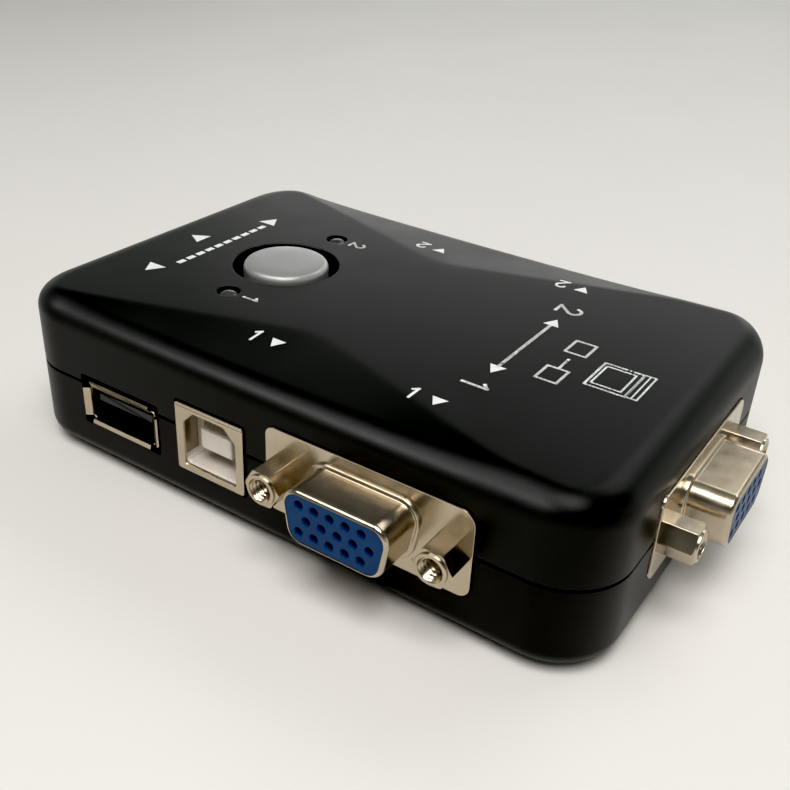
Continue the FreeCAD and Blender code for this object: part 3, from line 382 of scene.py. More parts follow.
class Paint:
    """A node material; coordinates are the object's own, which are the frame's."""

    def __init__(self, name, colour, roughness, metallic=0.0, **sockets):
        self.material = bpy.data.materials.new(name)
        self.material.use_nodes = True
        self.tree = self.material.node_tree
        self.shader = self.tree.nodes["Principled BSDF"]
        self.shader.inputs["Base Color"].default_value = (*colour, 1.0)
        self.shader.inputs["Roughness"].default_value = roughness
        self.shader.inputs["Metallic"].default_value = metallic
        for socket, value in sockets.items():
            self.shader.inputs[socket.replace("_", " ")].default_value = value
        self.coordinates = self.tree.nodes.new("ShaderNodeTexCoord").outputs["Object"]
        self.height = None

    def link(self, source, target):
        self.tree.links.new(source, target)

    def noise(self, size, detail):
        """Noise whose lumps are about size millimetres."""
        texture = self.tree.nodes.new("ShaderNodeTexNoise")
        texture.inputs["Scale"].default_value = 1.0 / (size * MM)
        texture.inputs["Detail"].default_value = detail
        self.link(self.coordinates, texture.inputs["Vector"])
        return texture.outputs["Fac"]

    def cells(self, size, randomness=1.0):
        """Cells of about size millimetres."""
        texture = self.tree.nodes.new("ShaderNodeTexVoronoi")
        texture.inputs["Scale"].default_value = 1.0 / (size * MM)
        texture.inputs["Randomness"].default_value = randomness
        self.link(self.coordinates, texture.inputs["Vector"])
        return texture.outputs["Distance"]

    def span(self, value, low_in, high_in, low_out, high_out):
        """Map one range of a value on to another, clamped."""
        ranger = self.tree.nodes.new("ShaderNodeMapRange")
        for socket, number in (("From Min", low_in), ("From Max", high_in),
                               ("To Min", low_out), ("To Max", high_out)):
            ranger.inputs[socket].default_value = number
        self.link(value, ranger.inputs["Value"])
        return ranger.outputs["Result"]

    def rough(self, value, low, high):
        """The roughness runs from low to high with the value."""
        self.link(self.span(value, NOISE_LOW, NOISE_HIGH, low, high), self.shader.inputs["Roughness"])

    def tint(self, value, first, second, low_in=NOISE_LOW, high_in=NOISE_HIGH):
        """The base colour runs from first to second with the value."""
        mixer = self.tree.nodes.new("ShaderNodeMix")
        mixer.data_type = "RGBA"
        mixer.inputs[MIX_FIRST].default_value = (*first, 1.0)
        mixer.inputs[MIX_SECOND].default_value = (*second, 1.0)
        self.link(self.span(value, low_in, high_in, 0.0, 1.0), mixer.inputs[MIX_SHARE])
        self.link(mixer.outputs[MIX_RESULT], self.shader.inputs["Base Color"])

    def bump(self, value, height):
        """Relief: height is in millimetres. A second call adds to the first."""
        relief = self.tree.nodes.new("ShaderNodeBump")
        relief.inputs["Strength"].default_value = 1.0
        relief.inputs["Distance"].default_value = height * MM
        self.link(value, relief.inputs["Height"])
        if self.height is not None:
            self.link(self.height, relief.inputs["Normal"])
        self.height = relief.outputs["Normal"]
        self.link(self.height, self.shader.inputs["Normal"])


def srgb(red, green, blue):
    """Linear colour from 0-255 display values, by the standard's curve."""
    def one(value):
        value /= 255
        return value / 12.92 if value <= 0.04045 else ((value + 0.055) / 1.055) ** 2.4
    return one(red), one(green), one(blue)


def case_plastic():
    paint = Paint("case_plastic", srgb(13, 15, 13), 0.36, IOR=1.23)
    paint.tint(paint.noise(20.0, 2.0), srgb(13, 14, 13), srgb(16, 17, 16))
    paint.rough(paint.noise(6.0, 3.0), 0.35, 0.39)
    paint.bump(paint.noise(0.22, 2.0), 0.008)
    paint.bump(paint.cells(0.16), 0.003)
    return paint.material


def nickel():
    paint = Paint("nickel_plate", (0.5, 0.43, 0.32), 0.2, 1.0)
    paint.tint(paint.noise(5.0, 2.0), (0.47, 0.4, 0.29), (0.53, 0.46, 0.355))
    paint.rough(paint.noise(2.0, 3.0), 0.18, 0.27)
    paint.bump(paint.noise(0.7, 2.0), 0.0015)
    paint.bump(paint.noise(3.0, 2.0), 0.005)
    return paint.material


def plain_plastic(name, first, second, roughness, grain=0.3, height=0.004, **sockets):
    paint = Paint(name, first, roughness, **sockets)
    paint.tint(paint.noise(4.0, 3.0), first, second)
    paint.rough(paint.noise(1.5, 3.0), roughness - 0.06, roughness + 0.07)
    paint.bump(paint.noise(grain, 3.0), height)
    return paint.material


def silver_paint():
    paint = Paint("silver_button", srgb(168, 169, 167), 0.42, 0.55)
    paint.tint(paint.noise(0.12, 2.0), srgb(160, 161, 159), srgb(178, 179, 177))
    paint.rough(paint.noise(3.0, 4.0), 0.38, 0.48)
    paint.bump(paint.noise(0.15, 2.0), 0.004)
    return paint.material


def metal(name, first, second, roughness):
    paint = Paint(name, first, roughness, 1.0)
    paint.tint(paint.noise(2.5, 4.0), first, second)
    paint.rough(paint.noise(1.0, 4.0), roughness - 0.07, roughness + 0.1)
    paint.bump(paint.noise(0.6, 3.0), 0.006)
    return paint.material


def laminate():
    paint = Paint("board_laminate", srgb(14, 70, 34), 0.35)
    paint.tint(paint.cells(1.8, 0.3), srgb(12, 62, 30), srgb(20, 84, 42), 0.2, 0.5)
    paint.rough(paint.noise(2.0, 3.0), 0.28, 0.4)
    paint.bump(paint.cells(0.6, 0.1), 0.01)
    return paint.material


def lamp_epoxy():
    paint = Paint("lamp_epoxy", srgb(58, 63, 57), 0.25, IOR=1.45)
    paint.tint(paint.noise(0.8, 2.0), srgb(52, 57, 51), srgb(64, 69, 63))
    paint.rough(paint.noise(0.6, 2.0), 0.2, 0.32)
    paint.bump(paint.noise(0.5, 2.0), 0.004)
    return paint.material


def ink():
    paint = Paint("marking_ink", srgb(238, 240, 238), 0.5)
    paint.tint(paint.noise(0.5, 3.0), srgb(228, 231, 229), srgb(248, 250, 248))
    paint.rough(paint.noise(0.8, 2.0), 0.44, 0.56)
    paint.bump(paint.noise(0.18, 2.0), 0.006)
    return paint.material


MATERIALS = {
    "case_plastic": case_plastic(),
    "nickel_plate": nickel(),
    "silver_button": silver_paint(),
    "board_laminate": laminate(),
    "lamp_epoxy": lamp_epoxy(),
    "ink": ink(),
    "rubber": plain_plastic("rubber", srgb(18, 18, 18), srgb(28, 28, 28), 0.75, 0.2, 0.015),
    "blue_insulator": plain_plastic("blue_insulator", srgb(5, 54, 100), srgb(7, 60, 108), 0.4, IOR=1.3),
    "black_insulator": plain_plastic("black_insulator", srgb(13, 14, 19), srgb(20, 21, 27), 0.42),
    "white_insulator": plain_plastic("white_insulator", srgb(216, 208, 196), srgb(228, 221, 210), 0.36),
    "chip_epoxy": plain_plastic("chip_epoxy", srgb(24, 24, 25), srgb(34, 34, 35), 0.55, 0.1, 0.01),
    "capacitor_sleeve": plain_plastic("capacitor_sleeve", srgb(24, 28, 44), srgb(32, 36, 54), 0.3),
    "ceramic": plain_plastic("ceramic", srgb(150, 118, 86), srgb(166, 134, 100), 0.5),
    "gold_contacts": metal("gold_contacts", (0.72, 0.52, 0.22), (0.85, 0.64, 0.30), 0.3),
    "tin_plate": metal("tin_plate", (0.60, 0.59, 0.56), (0.72, 0.71, 0.68), 0.35),
    "tinned_wire": metal("tinned_wire", (0.62, 0.61, 0.58), (0.75, 0.74, 0.71), 0.3),
    "screw_steel": metal("screw_steel", (0.30, 0.30, 0.30), (0.42, 0.42, 0.42), 0.38),
}


def repaint_nodes():
    """Every CAD node gets its slot's procedural material."""
    slots = {part["node"]: part["material_slot"] for part in frame["record"]["subparts"]}
    for name, thing in NODES.items():
        thing.data.materials.clear()
        thing.data.materials.append(MATERIALS[slots[name]])


# ---- Case
def top_height(x, y):
    """Height of the top, from the case's middle, before its outer edge is rounded."""
    inward = HALF_Y - abs(y)
    depth = WAIST_DEPTH - WAIST_SLOPE * math.hypot(x - WAIST_X, WAIST_ROUND)
    depth = (depth + math.hypot(depth - WAIST_LEAST, WAIST_BLEND) + WAIST_LEAST) / 2
    fade = min(1.0, max(0.0, (HALF_X - END_FLAT - abs(x)) / END_FADE))
    fade = fade * fade * (3 - 2 * fade)
    across = 1 - inward / depth
    ramp = (across + math.hypot(across, CREASE)) / 2
    return PLATEAU - FLANK_DROP * fade * ramp


def case_outline():
    return outline(rectangle(HALF_X, HALF_Y), CORNER, CORNER_STEPS, SIDE_STEPS)


def level(plan, inset, z):
    """A flat ring of the case's outline, moved inwards."""
    return [(x, y, z) for x, y in moved_in(plan, inset)]


def upper_shell():
    plan = case_outline()
    seam = PART_LINE + PART_GAP / 2
    lip = PART_LINE + LIP_RISE
    inside = [(WALL + INNER_CHAMFER, CEILING), (WALL, CEILING - INNER_CHAMFER), (WALL, lip),
              (UPPER_LIP, lip), (UPPER_LIP, seam), (SEAM_ROUND, seam), (SEAM_NIP, seam + SEAM_NIP),
              (0.0, seam + SEAM_ROUND)]
    rings = [level(plan, inset, z) for inset, z in inside]
    for i in range(EDGE_STEPS + 1):
        angle = math.radians(90 * i / EDGE_STEPS)
        ring = []
        for x, y, nx, ny in plan:
            radius = SIDE_FILLET + (END_FILLET - SIDE_FILLET) * nx * nx
            inset = radius * (1 - math.cos(angle))
            px, py = x - inset * nx, y - inset * ny
            ring.append((px, py, top_height(px, py) - radius * (1 - math.sin(angle))))
        rings.append(ring)
    edge = [(x, y) for x, y, z in rings[-1]]
    for i in range(1, TOP_RINGS + 1):
        scale = 1 - TOP_REACH * i / TOP_RINGS
        rings.append([(x * scale, y * scale, top_height(x * scale, y * scale)) for x, y in edge])
    return new_object("case_top_shell", *stack(rings), Matrix.Translation((CASE_X, 0, 0)))


def lower_shell():
    plan = case_outline()
    seam = PART_LINE - PART_GAP / 2
    lip = PART_LINE + LIP_RISE
    rings = []
    for i in range(FOOT_STEPS + 1):
        angle = math.radians(90 - 90 * i / FOOT_STEPS)
        inset = FOOT_FILLET * (1 - math.cos(angle))
        rings.append(level(plan, inset, UNDERSIDE + FOOT_FILLET * (1 - math.sin(angle))))
    inside = [(0.0, seam - SEAM_ROUND), (SEAM_NIP, seam - SEAM_NIP), (SEAM_ROUND, seam),
              (LOWER_LIP, seam), (LOWER_LIP, lip), (WALL, lip), (WALL, FLOOR_TOP + INNER_CHAMFER),
              (WALL + INNER_CHAMFER, FLOOR_TOP)]
    rings += [level(plan, inset, z) for inset, z in inside]
    return new_object("case_bottom_shell", *stack(rings), Matrix.Translation((CASE_X, 0, 0)))


def window_tools():
    """The openings that the sockets look out of, through both shells."""
    tools = []
    for family, (width, height, corner, rise) in WINDOWS.items():
        line = outline(rectangle(width / 2, height / 2), corner)
        verts, faces = upright(line, [(0, y) for y in WINDOW_REACH])
        for place in PLACES[family].values():
            tools.append(([tuple(place @ Vector((x, y, z + rise))) for x, y, z in verts], faces))
    return tools


def button_well():
    """The hole round the cap: a wide mouth, a neck, and the bore that its flange slides in."""
    step = PLATEAU - WELL_DEPTH
    profile = [(0, GUIDE_BORE_LOW), (GUIDE_BORE, GUIDE_BORE_LOW), (GUIDE_BORE, CEILING),
               (WELL_NECK, CEILING), (WELL_NECK, step), (WELL_R - 0.2, step), (WELL_R - 0.2, PLATEAU - 0.3),
               (WELL_R - 0.1, PLATEAU - 0.1), (WELL_R, PLATEAU + 0.02), (WELL_R, PLATEAU + PAST),
               (0, PLATEAU + PAST)]
    return shifted(lathe(profile, 96), (BUTTON_X, 0, 0))


def case_top():
    shell = upper_shell()
    bosses = at_corners(cylinder(BOSS_R, BOARD_HIGH.z, CEILING + BOSS_ROOT, 32), SCREW_X, SCREW_Y)
    guide = shifted(cylinder(GUIDE_R, GUIDE_LOW, CEILING + BOSS_ROOT), (BUTTON_X, 0, 0))
    boolean(shell, merge(bosses + [guide]), "UNION")
    openings = [button_well()]
    lamp_hole = cylinder(LAMP_HOLE_R, CEILING - PAST, PLATEAU + PAST, 48)
    openings += [shifted(lamp_hole, (spot.x, spot.y, 0)) for spot in LAMPS.values()]
    openings += at_corners(cylinder(*BOSS_BORE, 32), SCREW_X, SCREW_Y)
    boolean(shell, merge(openings + window_tools()))
    bevel(shell, CASE_BEVEL)
    return finish_piece(smooth(shell), "case", "case_plastic", "upper_shell")


def case_bottom():
    shell = lower_shell()
    post = cylinder(POST_R, FLOOR_TOP - POST_ROOT, BOARD_LOW.z, 32)
    posts = at_corners(post, SCREW_X, SCREW_Y) + [shifted(post, (BUTTON_X, 0, 0))]
    boolean(shell, merge(posts), "UNION")
    head_top = UNDERSIDE + HEAD_HOLE_DEPTH
    post_top = BOARD_LOW.z + PAST
    screw_hole = lathe([(0, 0), (HEAD_HOLE_R, 0), (HEAD_HOLE_R, head_top), (SHANK_HOLE_R, head_top),
                        (SHANK_HOLE_R, post_top), (0, post_top)], 48)
    openings = at_corners(screw_hole, SCREW_X, SCREW_Y)
    openings += at_corners(cylinder(FOOT_R + FOOT_GAP, 0, FOOT_TOP), FOOT_X, FOOT_Y)
    boolean(shell, merge(openings + window_tools()))
    bevel(shell, CASE_BEVEL)
    finish_piece(smooth(shell), "case", "case_plastic", "lower_shell")


# ---- Sockets: each is built once, facing -Y about the middle of its face, and copied to its places
PLATE_CORNERS = [2.2, 1.3, 1.6, 1.7]
D_WIDE = 8.165  # half sizes of the video nose's D shape
D_NARROW = 6.77
D_HIGH = 3.95
D_CORNER = 2.4
D_LINE = outline([(D_WIDE, D_HIGH), (-D_WIDE, D_HIGH), (-D_NARROW, -D_HIGH), (D_NARROW, -D_HIGH)], D_CORNER,
                 steps=10)
RIM = 0.6  # the step round the nose's foot
RIM_HEIGHT = 0.55
RIM_ROUND = 0.26
STEP_HEIGHT = 0.96
STEP_ROUND = 0.16
NOSE_SHEET = 0.4
NOSE_ROLL = 0.7
NOSE_LIP = 0.52
LIP_DEPTH = 0.5  # of the nose's rolled edge
FACE_RECESS = 0.1  # the insulator's face, behind the nose's front
CONTACT_PITCH = 2.29
LINE_PITCH = 1.98
STAGGER = 0.57
SCREW_STAND = 12.495  # the jackscrews, from the connector's middle


def video_shell():
    """The plate, the stepped rim and the drawn nose with its rolled front edge."""
    plate_line = outline(rectangle(VIDEO_PLATE[0] / 2, VIDEO_PLATE[1] / 2), PLATE_CORNERS)
    plate = upright(plate_line, [(0, 0.5), (0, -0.18), (0.04, -0.265), (0.13, -LIP_PROUD)])
    shell = new_object("video_shell", *plate)
    boolean(shell, upright(D_LINE, [(0.2, PAST), (0.2, -PAST)]))
    profile = [(NOSE_SHEET, 0.1), (-RIM, 0.1), (-RIM, -RIM_HEIGHT)]
    profile += arc((RIM_ROUND - RIM, -RIM_HEIGHT), RIM_ROUND, 180, 270, 4)
    profile += arc((-STEP_ROUND, -STEP_HEIGHT), STEP_ROUND, 90, 0, 3)
    profile += arc((NOSE_ROLL, NOSE_ROLL - NOSE), NOSE_ROLL, 180, 252, 8)
    profile += [(NOSE_LIP, 0.06 - NOSE), (NOSE_LIP, LIP_DEPTH - NOSE), (NOSE_SHEET, LIP_DEPTH - NOSE)]
    boolean(shell, upright(D_LINE, profile, loop=True), "UNION")
    return smooth(shell, 40)


def pin_places():
    """(x, z) of the fifteen contacts: the middle row is staggered."""
    places = []
    for line in (-1, 0, 1):
        stagger = STAGGER if line == 0 else -STAGGER
        places += [(column * CONTACT_PITCH + stagger, line * LINE_PITCH) for column in range(-2, 3)]
    return places


def video_insulator():
    """The blue body: a recessed face with fifteen countersunk sockets, and a block behind."""
    half_x, half_z, front, back = 9.5, 5.2, 0.5, 10.5
    core_inset = 0.45
    inset = NOSE_LIP + 0.03
    shoulder = LIP_DEPTH + 0.06 - NOSE
    face = FACE_RECESS - NOSE
    core = upright(D_LINE, [(core_inset, 0.6), (core_inset, shoulder), (inset, shoulder),
                            (inset, face + 0.08), (inset + 0.03, face + 0.02), (inset + 0.1, face)])
    insulator = new_object("video_insulator", *core)
    boolean(insulator, block((-half_x, front, -half_z), (half_x, back, half_z)), "UNION")
    mouth_r, throat_r, bore_r, end = 0.74, 0.6, 0.55, 10.0
    drill = [(0, face - 0.5), (mouth_r, face - 0.5), (mouth_r, face - 0.02), (throat_r, face + 0.12),
             (0.56, face + 0.9), (bore_r, face + 1.1), (bore_r, end), (0, end)]
    verts, faces = lathe(drill, 28)
    tools = [([(x + px, py, z + pz) for px, pz, py in verts], faces) for x, z in pin_places()]
    boolean(insulator, merge(tools))
    return smooth(insulator, 40)


def thread(radius, depth, pitch, low, high, segments=36, per_turn=8):
    """A helical ridge as a solid about z."""
    rings = []
    count = int((high - low) / pitch * per_turn)
    for step in range(count + 1):
        height = low + (high - low) * step / count
        ring = []
        for i in range(segments):
            turn = i / segments
            phase = (height / pitch - turn) % 1.0
            size = radius - depth * abs(2 * phase - 1)
            ring.append((size * math.cos(2 * math.pi * turn), size * math.sin(2 * math.pi * turn), height))
        rings.append(ring)
    return stack(rings)


def jackscrew():
    """A hexagonal standoff along +z: chamfered hexagon, round collar, threaded bore."""
    flats, edge_round = 4.75, 0.25
    hex_r, hex_round = 2.78, 0.38
    collar, collar_r, collar_round = 0.72, 2.2, 0.14
    bore_r, bore_depth, thread_depth, pitch = 1.62, 4.2, 0.27, 0.68
    length = JACK_LENGTH - LIP_PROUD
    hexagon = arc((0, 0), flats / 2 / math.cos(math.pi / 6), 0, 300, 5)
    plan = moved_in(outline(hexagon, edge_round, steps=3), 0)
    screw = new_object("jackscrew", *prism(plan, -0.5, length + PAST))
    shoulder = length - collar
    end_r = collar_r - 0.02
    turned = [(0, -PAST), (hex_r, -PAST), (hex_r, shoulder)]
    turned += arc((hex_r - hex_round, shoulder), hex_round, 35, 80, 3)
    turned += [(collar_r, shoulder + hex_round), (end_r, length - collar_round - 0.02)]
    turned += arc((end_r - collar_round, length - collar_round), collar_round, 0, 80, 4)
    turned += [(0, length)]
    boolean(screw, lathe(turned, 72), "INTERSECT")
    boolean(screw, thread(bore_r, thread_depth, pitch, length - bore_depth, length - 0.2))
    mouth = [(0, length - 0.35), (1.5, length - 0.35), (1.72, length - 0.08), (1.78, length + 0.5),
             (0, length + 0.5)]
    boolean(screw, lathe(mouth, 48))
    return screw


def jackscrews():
    """The two screws of a connector."""
    verts, faces = taken_apart(jackscrew())
    pair = [([(side * SCREW_STAND + x, -LIP_PROUD - z, y) for x, y, z in verts], faces) for side in (-1, 1)]
    return smooth(new_object("video_jackscrews", *merge(pair)), 35)


USB_SHEET = 0.3
FINE_BEVEL = 0.05


def flap(half_long, wall, reach, lean):
    """A bent tab of the USB-A mouth: (along, out, y) points; out is from the tube's outside."""
    lean = math.radians(lean)
    back = (math.cos(lean), math.sin(lean))
    tip_out = reach - USB_SHEET * back[0]
    bend_y = (tip_out + USB_SHEET) / back[1] * back[0] - LIP_PROUD
    thin = 0.01  # keeps the tab's sides off the tube's own planes
    inside = 2.0
    profile = [(-USB_SHEET + thin, inside), (-USB_SHEET + thin, bend_y + 0.25), (-USB_SHEET + 0.05, bend_y),
               (tip_out, -LIP_PROUD), (tip_out + USB_SHEET * back[0], USB_SHEET * back[1] - LIP_PROUD),
               (0.06, bend_y + 0.3), (-thin, bend_y + 0.5), (-thin, inside)]
    rings = [[(along, wall + out, y) for out, y in profile] for along in (-half_long, half_long)]
    return stack(rings)


def usb_a_shell():
    """A folded sheet tube whose mouth opens into four bent tabs."""
    half_x, half_z, back = 6.55, 2.85, 13.5
    upper_tab = {"half_long": 5.85, "reach": 0.9, "lean": 62}
    lower_tab = {"half_long": 5.85, "reach": 0.42, "lean": 74}
    side_tab = {"half_long": 2.3, "reach": 0.85, "lean": 62}
    tube_line = outline(rectangle(half_x, half_z), 0.55)
    profile = [(0, back), (0, 0.62), (0.06, 0.5), (0.24, 0.5), (USB_SHEET, 0.62), (USB_SHEET, back)]
    shell = new_object("usb_a_shell", *upright(tube_line, profile, loop=True))
    tabs = []
    for sign, tab in ((-1, lower_tab), (1, upper_tab)):
        verts, faces = flap(wall=half_z, **tab)
        tabs.append(([(along, y, sign * out) for along, out, y in verts], faces))
        verts, faces = flap(wall=half_x, **side_tab)
        tabs.append(([(sign * out, y, along) for along, out, y in verts], faces))
    boolean(shell, merge(tabs), "UNION")
    bevel(shell, FINE_BEVEL, 40, 2)
    return smooth(shell, 40)


def usb_a_tongue():
    """The black blade, chamfered at its front, and the base that fills the tube's back."""
    half_x, low, high = 5.55, 0.05, 1.89
    slot_half, slot_top = 0.52, 0.06
    blade_line = outline([(half_x, high), (-half_x, high), (-half_x, low), (half_x, low)], 0.12, steps=2)
    tongue = new_object("usb_a_tongue", *upright(blade_line, [(0, 10.0), (0, 1.35), (0.3, 1.0)]))
    boolean(tongue, block((-6.2, 9.5, -2.5), (6.2, 13.3, 2.5)), "UNION")
    slots = []
    for x in (-3.5, -1.0, 1.0, 3.5):
        slots.append(block((x - slot_half, 1.5, -0.5), (x + slot_half, 16.0, slot_top)))
    boolean(tongue, merge(slots))
    bevel(tongue, FINE_BEVEL, 40, 2)
    return smooth(tongue, 40)


def mouth_corners(half_x, half_z, cut):
    """The USB-B mouth: a rectangle with its two upper corners cut."""
    return [(half_x, half_z - cut), (half_x - cut, half_z), (cut - half_x, half_z), (-half_x, half_z - cut),
            (-half_x, -half_z), (half_x, -half_z)]


def usb_b_shell():
    """A folded sheet box: its front has the cut-cornered mouth and the fold's seam near the top."""
    half_x, half_z, back = 6.03, 5.35, 16.0
    sheet = 0.35
    outer_line = outline(rectangle(half_x, half_z), 0.5)
    profile = [(0, back), (0, -0.12), (0.05, -0.25), (0.18, -LIP_PROUD)]
    shell = new_object("usb_b_shell", *upright(outer_line, profile))
    boolean(shell, upright(outer_line, [(sheet, back + PAST), (sheet, sheet - LIP_PROUD)]))
    mouth_line = outline(mouth_corners(4.6, 4.25, 1.9), 0.35)
    boolean(shell, upright(mouth_line, [(0, PAST), (0, -0.12), (-0.12, -0.31), (-0.12, -PAST)]))
    seam_low, seam_high, seam_end = half_z - 0.52, half_z - 0.44, 0.1 - LIP_PROUD
    boolean(shell, block((-half_x - PAST, -PAST, seam_low), (half_x + PAST, seam_end, seam_high)))
    return smooth(shell, 40)


def usb_b_insulator():
    """The white body with the plug's hollow and the tongue in its middle."""
    body_line = outline(rectangle(5.63, 4.95), 0.3)
    body = new_object("usb_b_insulator", *upright(body_line, [(0, 15.8), (0, 0.12)]))
    boolean(body, block((-6, -PAST, -3.6), (6, 3.4, 5.2)))
    mouth_line = outline(mouth_corners(4.3, 3.95, 1.6), 0.3)
    boolean(body, upright(mouth_line, [(0, 9.3), (0, 0.5), (-0.3, 0.1), (-0.3, -PAST)]))
    tongue_line = outline(rectangle(2.8, 1.59), 0.2, steps=3)
    boolean(body, upright(tongue_line, [(0, 9.8), (0, 1.3), (0.12, 1.08), (0.35, 1.0)]), "UNION")
    slot_x, slot_half = 1.25, 0.52
    slots = []
    for x in (-slot_x, slot_x):
        for low, high in ((1.47, 1.8), (-1.8, -1.47)):
            slots.append(block((x - slot_half, 1.5, low), (x + slot_half, 18.0, high)))
    boolean(body, merge(slots))
    bevel(body, FINE_BEVEL, 40, 2)
    return smooth(body, 40)


def copy_out(family, part, master, slot_name):
    """Copies of a master at every place of its family, each standing for its CAD node."""
    for side, place in PLACES[family].items():
        mesh = master.data.copy()
        turn = Matrix.Translation(place.translation * MM) @ place.to_3x3().to_4x4()
        mesh.transform(turn)
        name = f"{family}_{side}_{part}"
        thing = bpy.data.objects.new(f"{name}_piece", mesh)
        bpy.context.scene.collection.objects.link(thing)
        finish_piece(thing, "case", slot_name, name)
    bpy.data.objects.remove(master)


def sockets():
    copy_out("video", "shell", video_shell(), "nickel_plate")
    copy_out("video", "insulator", video_insulator(), "blue_insulator")
    copy_out("video", "jackscrews", jackscrews(), "nickel_plate")
    copy_out("usb_a", "shell", usb_a_shell(), "nickel_plate")
    copy_out("usb_a", "tongue", usb_a_tongue(), "black_insulator")
    copy_out("usb_b", "shell", usb_b_shell(), "nickel_plate")
    copy_out("usb_b", "insulator", usb_b_insulator(), "white_insulator")


# ---- Button, indicators, feet and screws
def button():
    """The cap with its flange and stem; a rounded edge and a slightly domed top."""
    top = CAP_HIGH.z - 0.2
    edge_in, edge_down, dome = 0.9, 1.05, 0.1
    stem_r = 2.0
    flange_low, flange_high = CEILING - 1.05, CEILING - 0.05
    profile = [(0, CAP_LOW.z), (stem_r, CAP_LOW.z), (stem_r, flange_low), (FLANGE_R, flange_low),
               (FLANGE_R, flange_high), (CAP_R, flange_high)]
    for out, up in arc((0, 0), 1.0, 0, 84, 10):
        profile.append((CAP_R - edge_in * (1 - out), top - dome - edge_down * (1 - up)))
    profile += [(CAP_R * share, top - dome * share * share) for share in (0.6, 0.4, 0.2)]
    profile.append((0, top))
    cap = new_object("button_cap_piece", *lathe(profile, 128), Matrix.Translation((BUTTON_X, 0, 0)))
    finish_piece(smooth(cap, 35), "button", "silver_button", "button_cap")


def indicators():
    """Two round lamps with a flange; each lens stands a little higher than its CAD node."""
    body_r, flange_r, flange_high = 1.5, 1.9, 1.0
    lens_rise, dome = 0.5, 0.8
    for name, spot in LAMPS.items():
        low, high = node_box(name)
        top = high.z + lens_rise
        profile = [(0, low.z), (flange_r, low.z), (flange_r, low.z + flange_high - 0.1),
                   (flange_r - 0.1, low.z + flange_high), (body_r, low.z + flange_high)]
        profile += [(out * body_r, top - dome + dome * up) for out, up in arc((0, 0), 1.0, 0, 84, 10)]
        profile.append((0, top))
        lens = new_object(f"{name}_piece", *lathe(profile, 48), Matrix.Translation((spot.x, spot.y, 0)))
        finish_piece(smooth(lens, 35), "case", "lamp_epoxy", name)


def feet():
    """Four rubber discs with a shallow dish underneath and a rounded rim."""
    rim = 0.35
    foot = [(0, 0.12), (2.5, 0.12), (2.8, 0.03), (3.0, 0.0), (3.6, 0.0)]
    foot += arc((FOOT_R - rim, rim), rim, 270, 360, 4) + [(FOOT_R, FOOT_TOP), (0, FOOT_TOP)]
    thing = new_object("rubber_feet_piece", *merge(at_corners(lathe(foot), FOOT_X, FOOT_Y)))
    finish_piece(smooth(thing), "case", "rubber", "rubber_feet")


def case_screws():
    """Four screws from below: round head with a cross recess, threaded shank and a point."""
    low, high = SCREW_LOW.z, SCREW_HIGH.z
    head_round, head_top, neck_r, neck_top = 1.0, 2.6, 1.1, 3.2
    flat_r = HEAD_R - head_round
    head = [(0, low), (flat_r, low)] + arc((flat_r, low + head_round), head_round, 270, 350, 5)
    head += [(HEAD_R, head_top), (neck_r, head_top), (neck_r, neck_top), (0, neck_top)]
    screw = new_object("screw", *lathe(head, 48))
    boolean(screw, thread(1.25, 0.25, 0.9, 3.0, high - 0.8, 24, 6), "UNION")
    point = [(0, high - 1.2), (0.95, high - 1.2), (0.35, high), (0, high)]
    boolean(screw, lathe(point, 24), "UNION")
    arm_long, arm_wide = 1.3, 0.3
    depths = ((low - 0.3, 1.0), (low + 0.1, 1.0), (low + 1.1, 0.55))
    for half_x, half_y in ((arm_long, arm_wide), (arm_wide, arm_long)):
        arm = [[(x * share, y * share, z) for x, y in rectangle(half_x, half_y)] for z, share in depths]
        boolean(screw, stack(arm))
    thing = new_object("case_screws_piece", *merge(at_corners(taken_apart(screw), SCREW_X, SCREW_Y)))
    finish_piece(smooth(thing, 40), "case", "screw_steel", "case_screws")


# ---- Generic printed marks on the top: numerals, arrows and simple pictures in thin ink
INK_RISE = 0.02
INK_SINK = 0.05
STROKE_PIECE = 0.6  # longest straight bit of a stroke
TRIANGLE = [(-1.2, -0.9), (1.2, -0.9), (0, 1.1)]
NUMERAL_WIDTH = 0.42
NUMERAL_HIGH = 1.25
NUMERAL_SIDE = 0.72
END_READ = -90  # heading of what is read from the button's end of the case


def printed(name, loops, spot, heading, scale=1.0):
    """Flat shapes printed on the top. Each loop is a convex outline; heading turns them about z."""
    parts = []
    turn = Matrix.Rotation(math.radians(heading), 2)
    for loop in loops:
        places = [Vector(spot) + turn @ Vector(point) * scale for point in loop]
        rings = []
        for rise in (-INK_SINK, INK_RISE):
            rings.append([(p.x, p.y, top_height(p.x - CASE_X, p.y) + rise) for p in places])
        parts.append(stack(rings))
    thing = new_object(name, *merge(parts))
    thing.data.materials.append(MATERIALS["ink"])
    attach(thing, "case")


def bar(ax, ay, bx, by, width):
    """A straight stroke as a convex loop."""
    along = Vector((bx - ax, by - ay)).normalized() * width / 2
    side = Vector((-along.y, along.x))
    a, b = Vector((ax, ay)) - along, Vector((bx, by)) + along
    return [tuple(a - side), tuple(b - side), tuple(b + side), tuple(a + side)]


def strokes(points, width):
    """A line of bars, short enough to follow the top over its creases."""
    bars = []
    for first, second in zip(points, points[1:]):
        start, step = Vector(first), Vector(second) - Vector(first)
        count = math.ceil(step.length / STROKE_PIECE)
        for i in range(count):
            bars.append(bar(*(start + step * i / count), *(start + step * (i + 1) / count), width))
    return bars


def numeral_one(width=NUMERAL_WIDTH):
    return strokes([(-0.55, 0.75), (0.05, NUMERAL_HIGH), (0.05, -NUMERAL_HIGH)], width)


